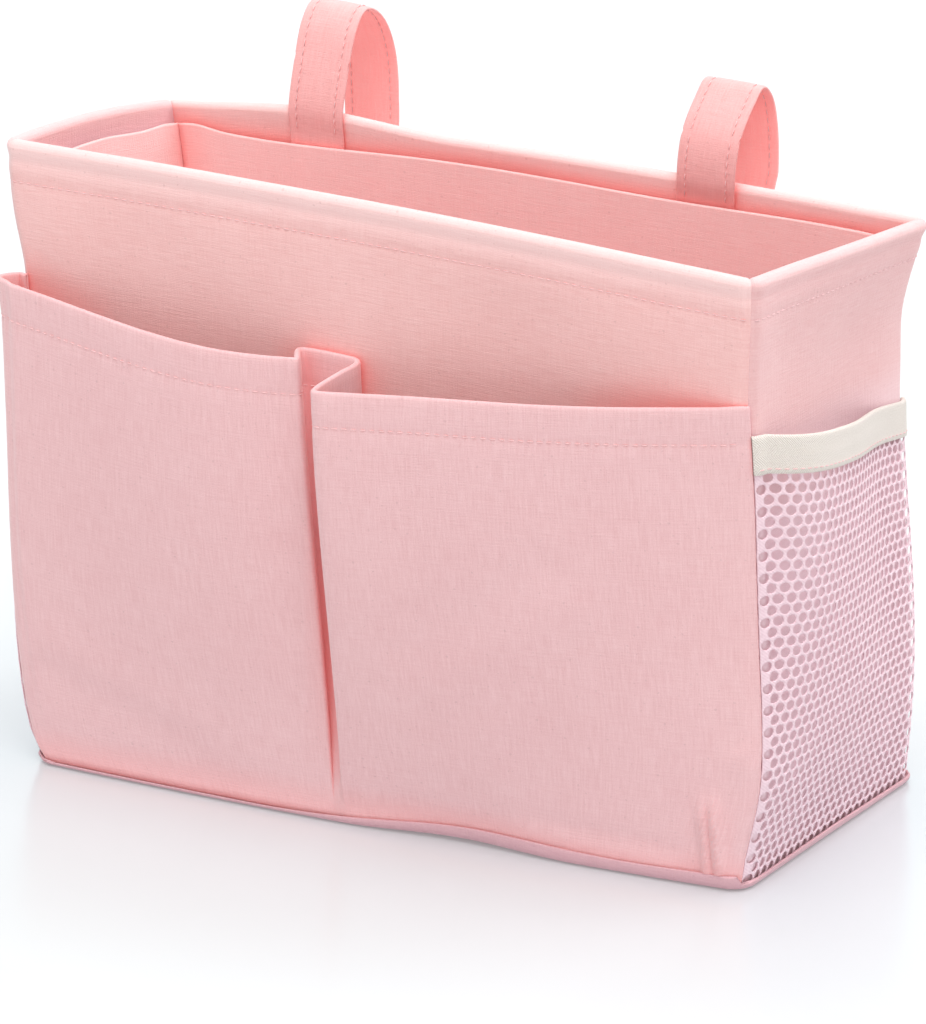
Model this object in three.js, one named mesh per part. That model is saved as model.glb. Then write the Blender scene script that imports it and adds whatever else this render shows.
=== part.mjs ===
// Bedside caddy: an open canvas bag on a wire rim, with two front pockets, a net
// pocket on each side and two hook-and-loop straps that go round a bed rail.
// Millimetres, +Z up, front towards -Y, origin at the centre of the underside.
import * as THREE from 'three';

// Bag body, outside sizes at the rim
const width = 300;
const depth = 120;
const height = 222;
const cornerRadius = 6;

// Cloth, board and wire thicknesses, and the air left between two plies
const clearance = 0.3;
const canvas = 1;
const liningCloth = 0.8;
const wireDiameter = 2.4;
const stiffenerThickness = 1.5;
const boardThickness = 2.5;
const boardCornerRadius = 8;

// Hems and seams
const facingDepth = 28;
const liningDrop = 8;
const liningHem = 10;
const tuckedHeight = 3;

// Front pockets: one strip of canvas with an inverted pleat
const pocketHeight = 176;
const pocketHem = 14;
const pocketBulge = 29;
const pocketSag = 12;

// Net pockets on the two ends
const netFrontHeight = 167;
const netRearHeight = 152;
const netBulge = 8.5;
const netSlackShare = 0.6;
const netThread = 0.8;
const netColumns = 8;
const netRows = 11;
const netHoleShare = 0.84;
const tapeHeight = 13.5;
const tapeThickness = 0.8;

// Hanging straps, one folded canvas tube each
const strapWidth = 22;
const strapThickness = 1.4;
const strapTailLength = 20;
const strapFallToWall = 78;
const strapGrip = 34;
const crownGap = 0.7;
const patchLength = 28;
const patchWidth = 19;
const patchThickness = 1;
const leftStrapRise = 37;
const leftCrownOut = 15;
const leftStrapReach = 36;
const leftLegBow = 0;
const rightStrapRise = 34.5;
const rightCrownOut = 12.5;
const rightStrapReach = 23;
const rightLegBow = 4;
const straps = [
  {
    side: 'left', centre: -0.284 * width, rise: leftStrapRise, crownOut: leftCrownOut,
    reach: leftStrapReach, bow: leftLegBow,
  },
  {
    side: 'right', centre: 0.23 * width, rise: rightStrapRise, crownOut: rightCrownOut,
    reach: rightStrapReach, bow: rightLegBow,
  },
];

// How the filled-out cloth stands: each corner's shift from the cut rectangle, as
// shares of width, depth and height, and the swell of the walls between seams
const baseCornerShares = {
  frontLeft: [0.036, -0.029],
  frontRight: [-0.024, 0.016],
  backRight: [-0.01, 0.102],
  backLeft: [0.01, 0.008],
};
const rimCornerShares = {
  frontLeft: [-0.016, 0.066, 0.036],
  frontRight: [-0.01, -0.031, -0.008],
  backRight: [0.022, -0.04, -0.027],
  backLeft: [-0.017, -0.031, -0.002],
};
const endSwellShare = 0.013;
const faceSwellShare = 0.02;

// Upright corner edges that stand out of line, as level and shift along the width
const edgeShares = {
  frontLeft: [
    [0, 0], [0.04, -0.015], [0.12, -0.021], [0.35, -0.019], [0.6, -0.0145],
    [0.79, -0.009], [0.88, -0.0165], [0.95, -0.016], [1, -0.0115],
  ],
  backRight: [
    [0, 0], [0.3, -0.005], [0.6, -0.0065], [0.75, -0.007], [0.84, -0.0095],
    [0.9, -0.004], [0.95, 0.0035], [1, 0.0095],
  ],
};

// How the rim wire bows up between its corners, most where the left strap stiffens it
const frontLiftShare = 0.009;
const backLiftShare = 0.013;
const strapLiftShare = 0.018;
const strapLiftPlaceShare = -0.62;
const strapLiftReachShare = 0.42;

// How the foot of the front face bows forward, up to a level
const footBowShare = 0.034;
const footLevelShare = 0.22;

// Worked-out insets from the bag's outer face
const rollRadius = canvas + clearance + wireDiameter / 2;
const stiffenerInset = canvas + clearance;
const stiffenerInner = stiffenerInset + stiffenerThickness;
const facingInset = 2 * rollRadius - canvas;
const facingInner = facingInset + canvas;
const strapInset = facingInner + clearance;
const liningInset = strapInset + strapThickness + clearance;
const liningInner = liningInset + liningCloth;

// Worked-out levels
const wallFoot = canvas + clearance;
const boardTop = wallFoot + boardThickness;
const liningFloor = boardTop + clearance;
const liningFoot = liningFloor + liningCloth + clearance;
const liningTop = height - liningDrop;
const rollCentre = height - rollRadius;
const levelCount = 12;
const levels = Array.from({ length: levelCount + 1 }, (_, i) => (i * rollCentre) / levelCount);

const pink = new THREE.MeshStandardMaterial({ color: 0xe9b4b6, roughness: 0.95, metalness: 0 });
const innerPink = new THREE.MeshStandardMaterial({ color: 0xe79b9d, roughness: 0.95, metalness: 0 });
const netPink = new THREE.MeshStandardMaterial({ color: 0xf3d3d6, roughness: 0.7, metalness: 0 });
const cream = new THREE.MeshStandardMaterial({ color: 0xeee4da, roughness: 0.9, metalness: 0 });
const steel = new THREE.MeshStandardMaterial({ color: 0x9a9c9f, roughness: 0.35, metalness: 1 });
const board = new THREE.MeshStandardMaterial({ color: 0xe8e6e2, roughness: 0.6, metalness: 0 });
const hookWhite = new THREE.MeshStandardMaterial({ color: 0xf2efec, roughness: 0.8, metalness: 0 });

// Shift of a point between four corners, each a list of shares of the sizes
function cornerShift(shares, u, v, axis) {
  const front = THREE.MathUtils.lerp(shares.frontLeft[axis], shares.frontRight[axis], (1 + u) / 2);
  const back = THREE.MathUtils.lerp(shares.backLeft[axis], shares.backRight[axis], (1 + u) / 2);
  return THREE.MathUtils.lerp(front, back, (1 + v) / 2);
}

// Smooth value between the rows of a table of (place, value)
function smoothTable(table, place) {
  const last = table.length - 1;
  const x = Math.min(Math.max(place, table[0][0]), table[last][0]);
  let i = 0;
  while (i < last - 1 && x > table[i + 1][0]) i += 1;
  const slope = (k) => {
    const [from, to] = [table[Math.max(k - 1, 0)], table[Math.min(k + 1, last)]];
    return (to[1] - from[1]) / (to[0] - from[0]);
  };
  const span = table[i + 1][0] - table[i][0];
  const t = (x - table[i][0]) / span;
  const bend = THREE.MathUtils.lerp(
    slope(i) * span - (table[i + 1][1] - table[i][1]),
    (table[i + 1][1] - table[i][1]) - slope(i + 1) * span, t);
  return THREE.MathUtils.lerp(table[i][1], table[i + 1][1], t) + t * (1 - t) * bend;
}

// Share by which the rim's bow lifts a point over its level on the cut bag
function rimLift(u, v) {
  const arch = 1 - Math.min(u * u, 1);
  const strapLift = THREE.MathUtils.smoothstep(1 - Math.abs(u - strapLiftPlaceShare) / strapLiftReachShare, 0, 1);
  const back = backLiftShare * arch + strapLiftShare * strapLift;
  return THREE.MathUtils.lerp(frontLiftShare * arch, back, (1 + v) / 2);
}

// Moves a point of the cut, square bag to where the standing bag holds it
function settle(point) {
  const u = (2 * point.x) / width;
  const v = (2 * point.y) / depth;
  const s = point.z / height;
  const mix = (axis) => THREE.MathUtils.lerp(
    cornerShift(baseCornerShares, u, v, axis), cornerShift(rimCornerShares, u, v, axis), s);
  const inside = Math.min(Math.max(s, 0), 1);
  const endSwell = u * endSwellShare * Math.sin(2 * Math.PI * inside);
  const faceSwell = v * faceSwellShare * (1 - Math.min(u * u, 1)) * Math.sin(Math.PI * inside);
  const edgeShift = smoothTable(edgeShares.frontLeft, s) * (1 - u) * (1 - v)
    + smoothTable(edgeShares.backRight, s) * (1 + u) * (1 + v);
  const low = Math.max(1 - Math.max(s, 0) / footLevelShare, 0);
  const footBow = footBowShare * (1 - Math.min(u * u, 1)) * Math.max((v - 1) / 2, -1) * low * low;
  return new THREE.Vector3(
    point.x + width * (mix(0) + endSwell + edgeShift / 4),
    point.y + depth * (mix(1) + faceSwell + footBow),
    point.z * (1 + cornerShift(rimCornerShares, u, v, 2) + rimLift(u, v)));
}

// Closed solid from points and triangles, with its faces turned outwards
function solid(points, triangles, place = settle) {
  const at = points.map((p) => place(p));
  let volume = 0;
  for (const [a, b, c] of triangles) volume += at[a].dot(at[b].clone().cross(at[c]));
  const faces = volume < 0 ? triangles.map(([a, b, c]) => [a, c, b]) : triangles;
  const geometry = new THREE.BufferGeometry();
  geometry.setAttribute('position', new THREE.Float32BufferAttribute(at.flatMap((p) => p.toArray()), 3));
  geometry.setIndex(faces.flat());
  geometry.computeVertexNormals();
  return geometry;
}

// Triangles that fill a section, each wound the way the section itself runs
function fill(section) {
  const way = Math.sign(THREE.ShapeUtils.area(section));
  return THREE.ShapeUtils.triangulateShape(section, []).map(([a, b, c]) => {
    const area = THREE.ShapeUtils.area([section[a], section[b], section[c]]);
    return Math.sign(area) === way ? [a, b, c] : [a, c, b];
  });
}

// Skin through rings of equally many points; open lofts are capped by the section
function loft(rings, section, place) {
  const n = rings[0].length;
  const triangles = [];
  const last = section ? rings.length - 1 : rings.length;
  for (let i = 0; i < last; i += 1) {
    const next = (i + 1) % rings.length;
    for (let j = 0; j < n; j += 1) {
      const k = (j + 1) % n;
      triangles.push([i * n + j, i * n + k, next * n + k], [i * n + j, next * n + k, next * n + j]);
    }
  }
  if (section) {
    const far = last * n;
    for (const [a, b, c] of fill(section)) triangles.push([a, c, b], [far + a, far + b, far + c]);
  }
  return solid(rings.flat(), triangles, place);
}

// Closed sheet between an outer and an inner grid, both given row by row
function sheet(grids) {
  const n = grids[0].outer.length;
  const points = grids.flatMap(({ outer, inner }) => [...outer, ...inner]);
  const triangles = [];
  const quad = (a, b, c, d) => triangles.push([a, b, c], [a, c, d]);
  const last = grids.length - 1;
  const at = (row, layer, column) => (2 * row + layer) * n + column;
  for (let i = 0; i < last; i += 1) {
    for (let j = 0; j < n - 1; j += 1) {
      quad(at(i, 0, j), at(i, 0, j + 1), at(i + 1, 0, j + 1), at(i + 1, 0, j));
      quad(at(i, 1, j), at(i + 1, 1, j), at(i + 1, 1, j + 1), at(i, 1, j + 1));
    }
    quad(at(i, 1, 0), at(i, 0, 0), at(i + 1, 0, 0), at(i + 1, 1, 0));
    quad(at(i, 0, n - 1), at(i, 1, n - 1), at(i + 1, 1, n - 1), at(i + 1, 0, n - 1));
  }
  for (let j = 0; j < n - 1; j += 1) {
    quad(at(0, 0, j + 1), at(0, 0, j), at(0, 1, j), at(0, 1, j + 1));
    quad(at(last, 0, j), at(last, 0, j + 1), at(last, 1, j + 1), at(last, 1, j));
  }
  return solid(points, triangles);
}

// The four sides of the bag: which way each runs, faces and how long it is
const sides = {
  front: { along: new THREE.Vector3(1, 0, 0), out: new THREE.Vector3(0, -1, 0), run: width, face: depth / 2 },
  right: { along: new THREE.Vector3(0, 1, 0), out: new THREE.Vector3(1, 0, 0), run: depth, face: width / 2 },
  back: { along: new THREE.Vector3(-1, 0, 0), out: new THREE.Vector3(0, 1, 0), run: width, face: depth / 2 },
  left: { along: new THREE.Vector3(0, -1, 0), out: new THREE.Vector3(-1, 0, 0), run: depth, face: width / 2 },
};

function onSide(side, along, out, z) {
  const p = side.along.clone().multiplyScalar(along);
  return p.addScaledVector(side.out, out).setZ(z);
}

// Stations along one side: the straight run, then half of each rounded corner
const straightShares = [-1, -0.66, -0.33, 0, 0.33, 0.66, 1];
const cornerTurns = [Math.PI / 8, Math.PI / 4];
const stations = [
  ...cornerTurns.map((turn) => ({ end: -1, turn })).reverse(),
  ...straightShares.map((share) => ({ share })),
  ...cornerTurns.map((turn) => ({ end: 1, turn })),
];

function stationPoint(side, station, inset, z) {
  const centre = side.run / 2 - cornerRadius;
  if (station.share !== undefined) {
    return onSide(side, centre * station.share, side.face - inset, z);
  }
  const radius = cornerRadius - inset;
  const gap = station.turn === cornerTurns[1] ? clearance / 2 : 0;
  const along = centre + radius * Math.sin(station.turn) - gap * Math.cos(station.turn);
  const out = side.face - cornerRadius + radius * Math.cos(station.turn) + gap * Math.sin(station.turn);
  return onSide(side, station.end * along, out, z);
}

// Place on a ply too far inside the bag to have a rounded corner
function mitrePoint(side, share, inset, z) {
  return onSide(side, share * (side.run / 2 - inset - clearance / 2), side.face - inset, z);
}

// Levels shared by all upright plies, so that neighbours keep the same facets
function between(low, high) {
  return [low, ...levels.filter((z) => z > low + canvas && z < high - canvas), high];
}

// Upright ply along one side, from its outer and inner lines of (inset, level)
function ply(side, places, pointOn, outerLine, innerLine) {
  const row = (line, place) => line.map(([inset, z]) => pointOn(side, place, inset, z));
  return sheet(places.map((place) => ({ outer: row(outerLine, place), inner: row(innerLine, place) })));
}

// Wall of the shell: up the outside, over the wire and down inside as the facing
function hemmedWall(side) {
  const rollSteps = 6;
  const arc = (radius) => Array.from({ length: rollSteps + 1 }, (_, i) => {
    const turn = (Math.PI * i) / rollSteps;
    return [rollRadius - radius * Math.cos(turn), rollCentre + radius * Math.sin(turn)];
  });
  const rise = between(wallFoot, rollCentre).slice(0, -1);
  const fall = between(height - facingDepth, rollCentre).slice(0, -1).reverse();
  const line = (inset, radius, back) => [
    ...rise.map((z) => [inset, z]),
    ...arc(radius),
    ...fall.map((z) => [back, z]),
  ];
  const outerLine = line(0, rollRadius, facingInner);
  const innerLine = line(canvas, rollRadius - canvas, facingInset);
  return ply(side, stations, stationPoint, outerLine, innerLine);
}

// Stiffening sheet that slides into the casing between shell and facing
function stiffener(side) {
  const rise = between(wallFoot, rollCentre - rollRadius);
  const line = (inset) => rise.map((z) => [inset, z]);
  return ply(side, stations, stationPoint, line(stiffenerInset), line(stiffenerInner));
}

// Lining wall, its top folded under to a free-standing double edge
function liningWall(side) {
  const hemFoot = liningTop - liningHem;
  const rise = between(liningFoot, hemFoot);
  const line = (inset, hemInset) => [
    ...rise.map((z) => [inset, z]),
    [hemInset, hemFoot + canvas],
    [hemInset, liningTop],
  ];
  return ply(side, straightShares, mitrePoint, line(liningInset, liningInset),
    line(liningInner, liningInner + liningCloth));
}

// Flat plate with rounded corners; a settled plate follows the bag's base
function roundedPlate(length, span, radius, bottom, top, centre, place) {
  const cornerSteps = 3;
  const outline = [];
  for (let corner = 0; corner < 4; corner += 1) {
    const sx = corner === 0 || corner === 3 ? 1 : -1;
    const sy = corner < 2 ? 1 : -1;
    for (let i = 0; i <= cornerSteps; i += 1) {
      const turn = (Math.PI / 2) * (corner + i / cornerSteps);
      outline.push(new THREE.Vector2(
        sx * (length / 2 - radius) + radius * Math.cos(turn),
        sy * (span / 2 - radius) + radius * Math.sin(turn)));
    }
  }
  const ring = (z) => outline.map((p) => new THREE.Vector3(centre.x + p.x, centre.y + p.y, z));
  return loft([ring(bottom), ring(top)], outline, place);
}

// Bottom cloth: a shallow tray, its edge turned up round the foot of the bag
function bottomTray() {
  const inner = 2 * clearance + canvas;
  const outer = inner + canvas;
  const profile = [
    [rollRadius, 0],
    [-outer, 0],
    [-outer, tuckedHeight],
    [-inner, tuckedHeight],
    [-inner, canvas],
    [rollRadius, canvas],
  ];
  const steps = ['front', 'right', 'back', 'left'].flatMap((name) => {
    const side = sides[name];
    const straight = straightShares.map((share) => ({ side, share }));
    const bend = [Math.PI / 8, Math.PI / 4, (3 * Math.PI) / 8].map((turn) => ({ side, turn, end: 1 }));
    return [...straight, ...bend];
  });
  const ringPoint = ({ side, share, turn }, inset, z) => {
    const centre = side.run / 2 - cornerRadius;
    if (share !== undefined) return onSide(side, centre * share, side.face - inset, z);
    const radius = cornerRadius - inset;
    return onSide(side, centre + radius * Math.sin(turn), side.face - cornerRadius + radius * Math.cos(turn), z);
  };
  const points = steps.flatMap((step) => profile.map(([inset, z]) => ringPoint(step, inset, z)));
  const n = profile.length;
  const triangles = [];
  steps.forEach((_, i) => {
    const next = (i + 1) % steps.length;
    for (let j = 0; j < n - 1; j += 1) {
      triangles.push([i * n + j, i * n + j + 1, next * n + j + 1], [i * n + j, next * n + j + 1, next * n + j]);
    }
  });
  const rim = steps.map((step) => {
    const p = ringPoint(step, rollRadius, 0);
    return new THREE.Vector2(p.x, p.y);
  });
  for (const [a, b, c] of fill(rim)) {
    triangles.push([a * n, b * n, c * n], [a * n + n - 1, c * n + n - 1, b * n + n - 1]);
  }
  return solid(points, triangles);
}

// Steel wire bent to the rim's rounded rectangle and butt-welded
function rimWire() {
  const wireSides = 10;
  const bendSteps = 5;
  const radius = cornerRadius - rollRadius;
  const rings = [];
  for (const side of Object.values(sides)) {
    const centre = side.run / 2 - cornerRadius;
    const straight = straightShares.map((share) => ({ along: centre * share, out: side.face - rollRadius, turn: 0 }));
    const bend = Array.from({ length: bendSteps - 1 }, (_, i) => {
      const turn = (Math.PI / 2) * ((i + 1) / bendSteps);
      return {
        along: centre + radius * Math.sin(turn),
        out: side.face - cornerRadius + radius * Math.cos(turn),
        turn,
      };
    });
    for (const { along, out, turn } of [...straight, ...bend]) {
      const normal = side.out.clone().multiplyScalar(Math.cos(turn)).addScaledVector(side.along, Math.sin(turn));
      rings.push(Array.from({ length: wireSides }, (_, j) => {
        const around = (2 * Math.PI * j) / wireSides;
        const p = onSide(side, along, out, rollCentre + (wireDiameter / 2) * Math.sin(around));
        return p.addScaledVector(normal, (wireDiameter / 2) * Math.cos(around));
      }));
    }
  }
  return loft(rings, null);
}

// Mouth of the front pockets, from the left corner seam to the right one: place
// along the width, stand-off and drop as shares, and the place along the foot
const pocketShares = [
  { at: -0.496, out: 0, drop: 0, foot: -0.496 },
  { at: -0.507, out: 0.08, drop: 0, foot: -0.491 },
  { at: -0.5165, out: 0.19, drop: 0.01, foot: -0.486 },
  { at: -0.5195, out: 0.29, drop: 0.03, foot: -0.48 },
  { at: -0.508, out: 0.38, drop: 0.05, foot: -0.473 },
  { at: -0.47, out: 0.45, drop: 0.09, foot: -0.455 },
  { at: -0.42, out: 0.53, drop: 0.15, foot: -0.415 },
  { at: -0.34, out: 0.64, drop: 0.26, foot: -0.33 },
  { at: -0.26, out: 0.73, drop: 0.37, foot: -0.25 },
  { at: -0.19, out: 0.75, drop: 0.47, foot: -0.17 },
  { at: -0.132, out: 0.64, drop: 0.55, foot: -0.105 },
  { at: -0.105, out: 0.4, drop: 0.6, foot: -0.078 },
  { at: -0.096, out: 0.07, drop: 0.6, foot: -0.072 },
  { at: -0.062, out: 0.05, drop: 0.6, foot: -0.066 },
  { at: -0.028, out: 0.07, drop: 0.64, foot: -0.06 },
  { at: -0.027, out: 0.45, drop: 0.82, foot: -0.054 },
  { at: -0.026, out: 0.88, drop: 0.97, foot: -0.048 },
  { at: -0.016, out: 0.98, drop: 1, foot: -0.035 },
  { at: 0.03, out: 0.92, drop: 0.94, foot: 0.03 },
  { at: 0.1, out: 0.78, drop: 0.84, foot: 0.1 },
  { at: 0.18, out: 0.66, drop: 0.7, foot: 0.18 },
  { at: 0.26, out: 0.54, drop: 0.56, foot: 0.26 },
  { at: 0.34, out: 0.4, drop: 0.38, foot: 0.34 },
  { at: 0.42, out: 0.22, drop: 0.16, foot: 0.42 },
  { at: 0.465, out: 0.07, drop: 0.04, foot: 0.465 },
  { at: 0.482, out: 0.02, drop: 0, foot: 0.482 },
  { at: 0.49, out: 0, drop: 0, foot: 0.49 },
  { at: 0.496, out: 0, drop: 0, foot: 0.496 },
];
const pocketLevelShares = [0, 0.035, 0.1, 0.22, 0.36, 0.5, 0.66, 0.8];
const hemmedInner = 0.8 * canvas;

// How far out the pocket stands at a share of its height, against its mouth
function pocketSwell(share) {
  const above = Math.max(share - pocketLevelShares[1], 0) / (1 - pocketLevelShares[1]);
  return Math.sin((Math.PI / 2) * above);
}

// How far forward a ply lies that follows the shell, as far as the corner seams
function overFace(x, apart) {
  const radius = cornerRadius + apart;
  const past = Math.max(Math.abs(x) - (width / 2 - cornerRadius), 0);
  return depth / 2 - cornerRadius + Math.sqrt(radius ** 2 - Math.min(past, radius * Math.SQRT1_2) ** 2);
}

function pocketPoint({ at, out, drop, foot }, share) {
  const swell = pocketSwell(share);
  const footOut = overFace(width * foot, clearance + canvas / 2);
  const mouthOut = overFace(width * at, clearance + hemmedInner) + pocketBulge * out;
  return new THREE.Vector3(
    width * THREE.MathUtils.lerp(foot, at, swell),
    -THREE.MathUtils.lerp(footOut, mouthOut, swell),
    THREE.MathUtils.lerp(wallFoot, pocketHeight - pocketSag * drop, share));
}

// Sideways normal of each point of a row, lengthened at a fold so the ply keeps its width
function rowNormals(row) {
  const ways = row.slice(1).map((p, i) => p.clone().sub(row[i]).setZ(0).normalize());
  return row.map((_, i) => {
    const lead = ways[Math.min(i, ways.length - 1)];
    const turn = ways[Math.max(i - 1, 0)].clone().add(lead).normalize();
    return new THREE.Vector3(turn.y, -turn.x, 0).divideScalar(Math.max(turn.dot(lead), Math.SQRT1_2));
  });
}

function frontPocket() {
  const hemShare = 1 - pocketHem / pocketHeight;
  const rows = [
    ...pocketLevelShares.map((share) => ({ share, inner: canvas / 2 })),
    { share: hemShare - canvas / pocketHeight, inner: canvas / 2 },
    { share: hemShare, inner: hemmedInner },
    { share: 1, inner: hemmedInner },
  ];
  return sheet(rows.map(({ share, inner }) => {
    const middle = pocketShares.map((row) => pocketPoint(row, share));
    const normals = rowNormals(middle);
    return {
      outer: middle.map((p, i) => p.clone().addScaledVector(normals[i], canvas / 2)),
      inner: middle.map((p, i) => p.clone().addScaledVector(normals[i], -inner)),
    };
  }));
}

// Place on a net pocket's cloth at one of its upright lines, counted from seam to
// seam: w runs from the foot to the mouth, and off is how far off the net's middle
const netLines = 2 * netColumns;

function netLinePoint(side, line, w, off) {
  const seamTurn = (5 * Math.PI) / 24;
  const centre = side.run / 2 - cornerRadius;
  const atSeam = line === 0 || line === netLines;
  const v = atSeam ? Math.sign(line - 1) : ((2 * (line - 1)) / (netLines - 2) - 1);
  const back = v * side.along.y;
  const mouth = THREE.MathUtils.lerp(netFrontHeight, netRearHeight, (1 + back) / 2);
  const atFoot = 1.5 * clearance + netThread / 2;
  const atMouth = 3 * clearance + tapeThickness + netThread / 2;
  const radius = cornerRadius + THREE.MathUtils.lerp(atFoot, atMouth, Math.min(2 * w, 1)) + off;
  const turn = atSeam ? seamTurn : 0;
  const swell = netBulge * (1 - v ** 4) * (1 - netSlackShare * back) * THREE.MathUtils.smoothstep(w, 0, 0.85);
  const out = side.face - cornerRadius + radius * Math.cos(turn) + swell;
  return onSide(side, v * (centre + radius * Math.sin(turn)), out, THREE.MathUtils.lerp(wallFoot, mouth, w));
}

function netPoint(side, line, w, off) {
  const from = Math.min(Math.floor(line), netLines - 1);
  return netLinePoint(side, from, w, off).lerp(netLinePoint(side, from + 1, w, off), line - from);
}

// Knitted net: rows of six-sided gaps, every other row moved by half a gap
function net(side) {
  const topShare = 1 - (tapeThickness + clearance) / netFrontHeight;
  const points = [];
  const triangles = [];
  const index = new Map();
  const pointAt = (key, line, w, layer) => {
    const name = `${key} ${layer}`;
    if (!index.has(name)) {
      index.set(name, points.length);
      points.push(netPoint(side, line, w * topShare, ((layer ? -1 : 1) * netThread) / 2));
    }
    return index.get(name);
  };
  const zig = 1 / 6;
  const corner = (half, row) => {
    const wave = row === 0 || row === netRows ? 0 : zig * ((half + row) % 2 ? -1 : 1);
    return { key: `${half},${row}`, line: half, w: (row + wave) / netRows };
  };
  const face = (ring) => {
    for (let layer = 0; layer < 2; layer += 1) {
      for (let k = 1; k < ring.length - 1; k += 1) {
        const [a, b, c] = [ring[0], ring[k], ring[k + 1]].map((p) => pointAt(p.key, p.line, p.w, layer));
        triangles.push(layer ? [a, c, b] : [a, b, c]);
      }
    }
  };
  for (let row = 0; row < netRows; row += 1) {
    const first = row % 2;
    for (let half = first; half + 2 <= netLines - first; half += 2) {
      const around = [
        corner(half, row), corner(half + 1, row), corner(half + 2, row),
        corner(half + 2, row + 1), corner(half + 1, row + 1), corner(half, row + 1),
      ];
      const middle = {
        line: around.reduce((sum, p) => sum + p.line, 0) / around.length,
        w: around.reduce((sum, p) => sum + p.w, 0) / around.length,
      };
      const hole = around.map((p, k) => ({
        key: `hole ${half},${row},${k}`,
        line: THREE.MathUtils.lerp(middle.line, p.line, netHoleShare),
        w: THREE.MathUtils.lerp(middle.w, p.w, netHoleShare),
      }));
      around.forEach((p, k) => {
        const next = (k + 1) % around.length;
        face([p, around[next], hole[next], hole[k]]);
        const [a, b] = [hole[k], hole[next]];
        const [a0, b0, b1, a1] = [[a, 0], [b, 0], [b, 1], [a, 1]].map(([q, layer]) => pointAt(q.key, q.line, q.w, layer));
        triangles.push([a0, b0, b1], [a0, b1, a1]);
      });
    }
    if (first) {
      for (const half of [0, netLines - 1]) {
        face([corner(half, row), corner(half + 1, row), corner(half + 1, row + 1), corner(half, row + 1)]);
      }
    }
  }
  const border = [];
  for (let half = 0; half < netLines; half += 1) border.push([corner(half + 1, 0), corner(half, 0)]);
  for (let row = 0; row < netRows; row += 1) border.push([corner(netLines, row + 1), corner(netLines, row)]);
  for (let half = 0; half < netLines; half += 1) border.push([corner(half, netRows), corner(half + 1, netRows)]);
  for (let row = 0; row < netRows; row += 1) border.push([corner(0, row), corner(0, row + 1)]);
  for (const [p, q] of border) {
    const [p0, q0, q1, p1] = [[p, 0], [q, 0], [q, 1], [p, 1]].map(([r, layer]) => pointAt(r.key, r.line, r.w, layer));
    triangles.push([p0, q0, q1], [p0, q1, p1]);
  }
  return solid(points, triangles);
}

// Twill tape folded over the net's top edge
function netTape(side) {
  const inner = netThread / 2 + clearance;
  const outer = inner + tapeThickness;
  const profile = [
    [outer, tapeHeight], [outer, 0], [-outer, 0], [-outer, tapeHeight],
    [-inner, tapeHeight], [-inner, tapeThickness], [inner, tapeThickness], [inner, tapeHeight],
  ];
  const rings = Array.from({ length: netLines + 1 }, (_, line) => {
    const mouth = netPoint(side, line, 1, 0).z;
    return profile.map(([off, down]) => netPoint(side, line, 1 - down / (mouth - wallFoot), off));
  });
  return loft(rings, profile.map(([off, down]) => new THREE.Vector2(off, down)));
}

// Middle line of a strap from the rim over the crown to its end, as (y, z)
function strapLine({ rise, crownOut, reach, bow }) {
  const rootY = depth / 2 - strapInset - strapThickness / 2;
  const rootZ = liningTop + strapThickness / 2 + 2 * clearance;
  const wallY = depth / 2 + 3 * clearance + 2 * patchThickness + strapThickness / 2;
  const crownY = depth / 2 + crownOut;
  const rearY = depth / 2 + reach;
  const up = [
    [rootY, rootZ],
    [rootY - 0.5 * bow, height],
    [THREE.MathUtils.lerp(rootY, crownY, 0.28) - bow, height + 0.46 * rise],
    [THREE.MathUtils.lerp(rootY, crownY, 0.62), height + 0.84 * rise],
    [crownY, height + rise],
  ];
  const down = [
    [crownY, height + rise],
    [THREE.MathUtils.lerp(crownY, rearY, 0.55), height + 0.88 * rise],
    [THREE.MathUtils.lerp(crownY, rearY, 0.92), height + 0.55 * rise],
    [rearY, height],
    [THREE.MathUtils.lerp(wallY, rearY, 0.78), height - 0.36 * strapFallToWall],
    [THREE.MathUtils.lerp(wallY, rearY, 0.3), height - 0.72 * strapFallToWall],
    [wallY, height - strapFallToWall],
    [wallY, height - strapFallToWall - 0.15 * strapGrip],
    [wallY, height - strapFallToWall - 0.5 * strapGrip],
    [wallY, height - strapFallToWall - strapGrip],
  ];
  return { up, down };
}

// Flat band of cloth along a line in the (y, z) plane, its first end rounded
function band(centre, line, steps, roundStart, cutEnd) {
  const curve = new THREE.CatmullRomCurve3(line.map(([y, z]) => new THREE.Vector3(0, y, z)), false, 'centripetal');
  const half = strapThickness / 2;
  const length = curve.getLength();
  const stops = Array.from({ length: steps + 1 }, (_, i) => ({ t: (i / steps) * (1 - cutEnd / length), half, back: 0 }));
  if (roundStart) {
    const turns = [Math.PI / 3, Math.PI / 6];
    stops.unshift({ t: 0, half: half * Math.cos((4 * Math.PI) / 9), back: half },
      ...turns.map((turn) => ({ t: 0, half: half * Math.cos(turn), back: half * Math.sin(turn) })));
  }
  const rings = stops.map(({ t, half: h, back }) => {
    const p = curve.getPointAt(t);
    const tangent = curve.getTangentAt(t);
    const normal = new THREE.Vector3(0, tangent.z, -tangent.y);
    p.addScaledVector(tangent, -back);
    const left = centre - strapWidth / 2;
    const right = centre + strapWidth / 2;
    return [[left, h], [right, h], [right, -h], [left, -h]].map(([x, off]) => (
      p.clone().addScaledVector(normal, off).setX(x)));
  });
  const section = [[0, 1], [1, 1], [1, 0], [0, 0]].map(([x, y]) => new THREE.Vector2(x, y));
  return loft(rings, section);
}

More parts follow.
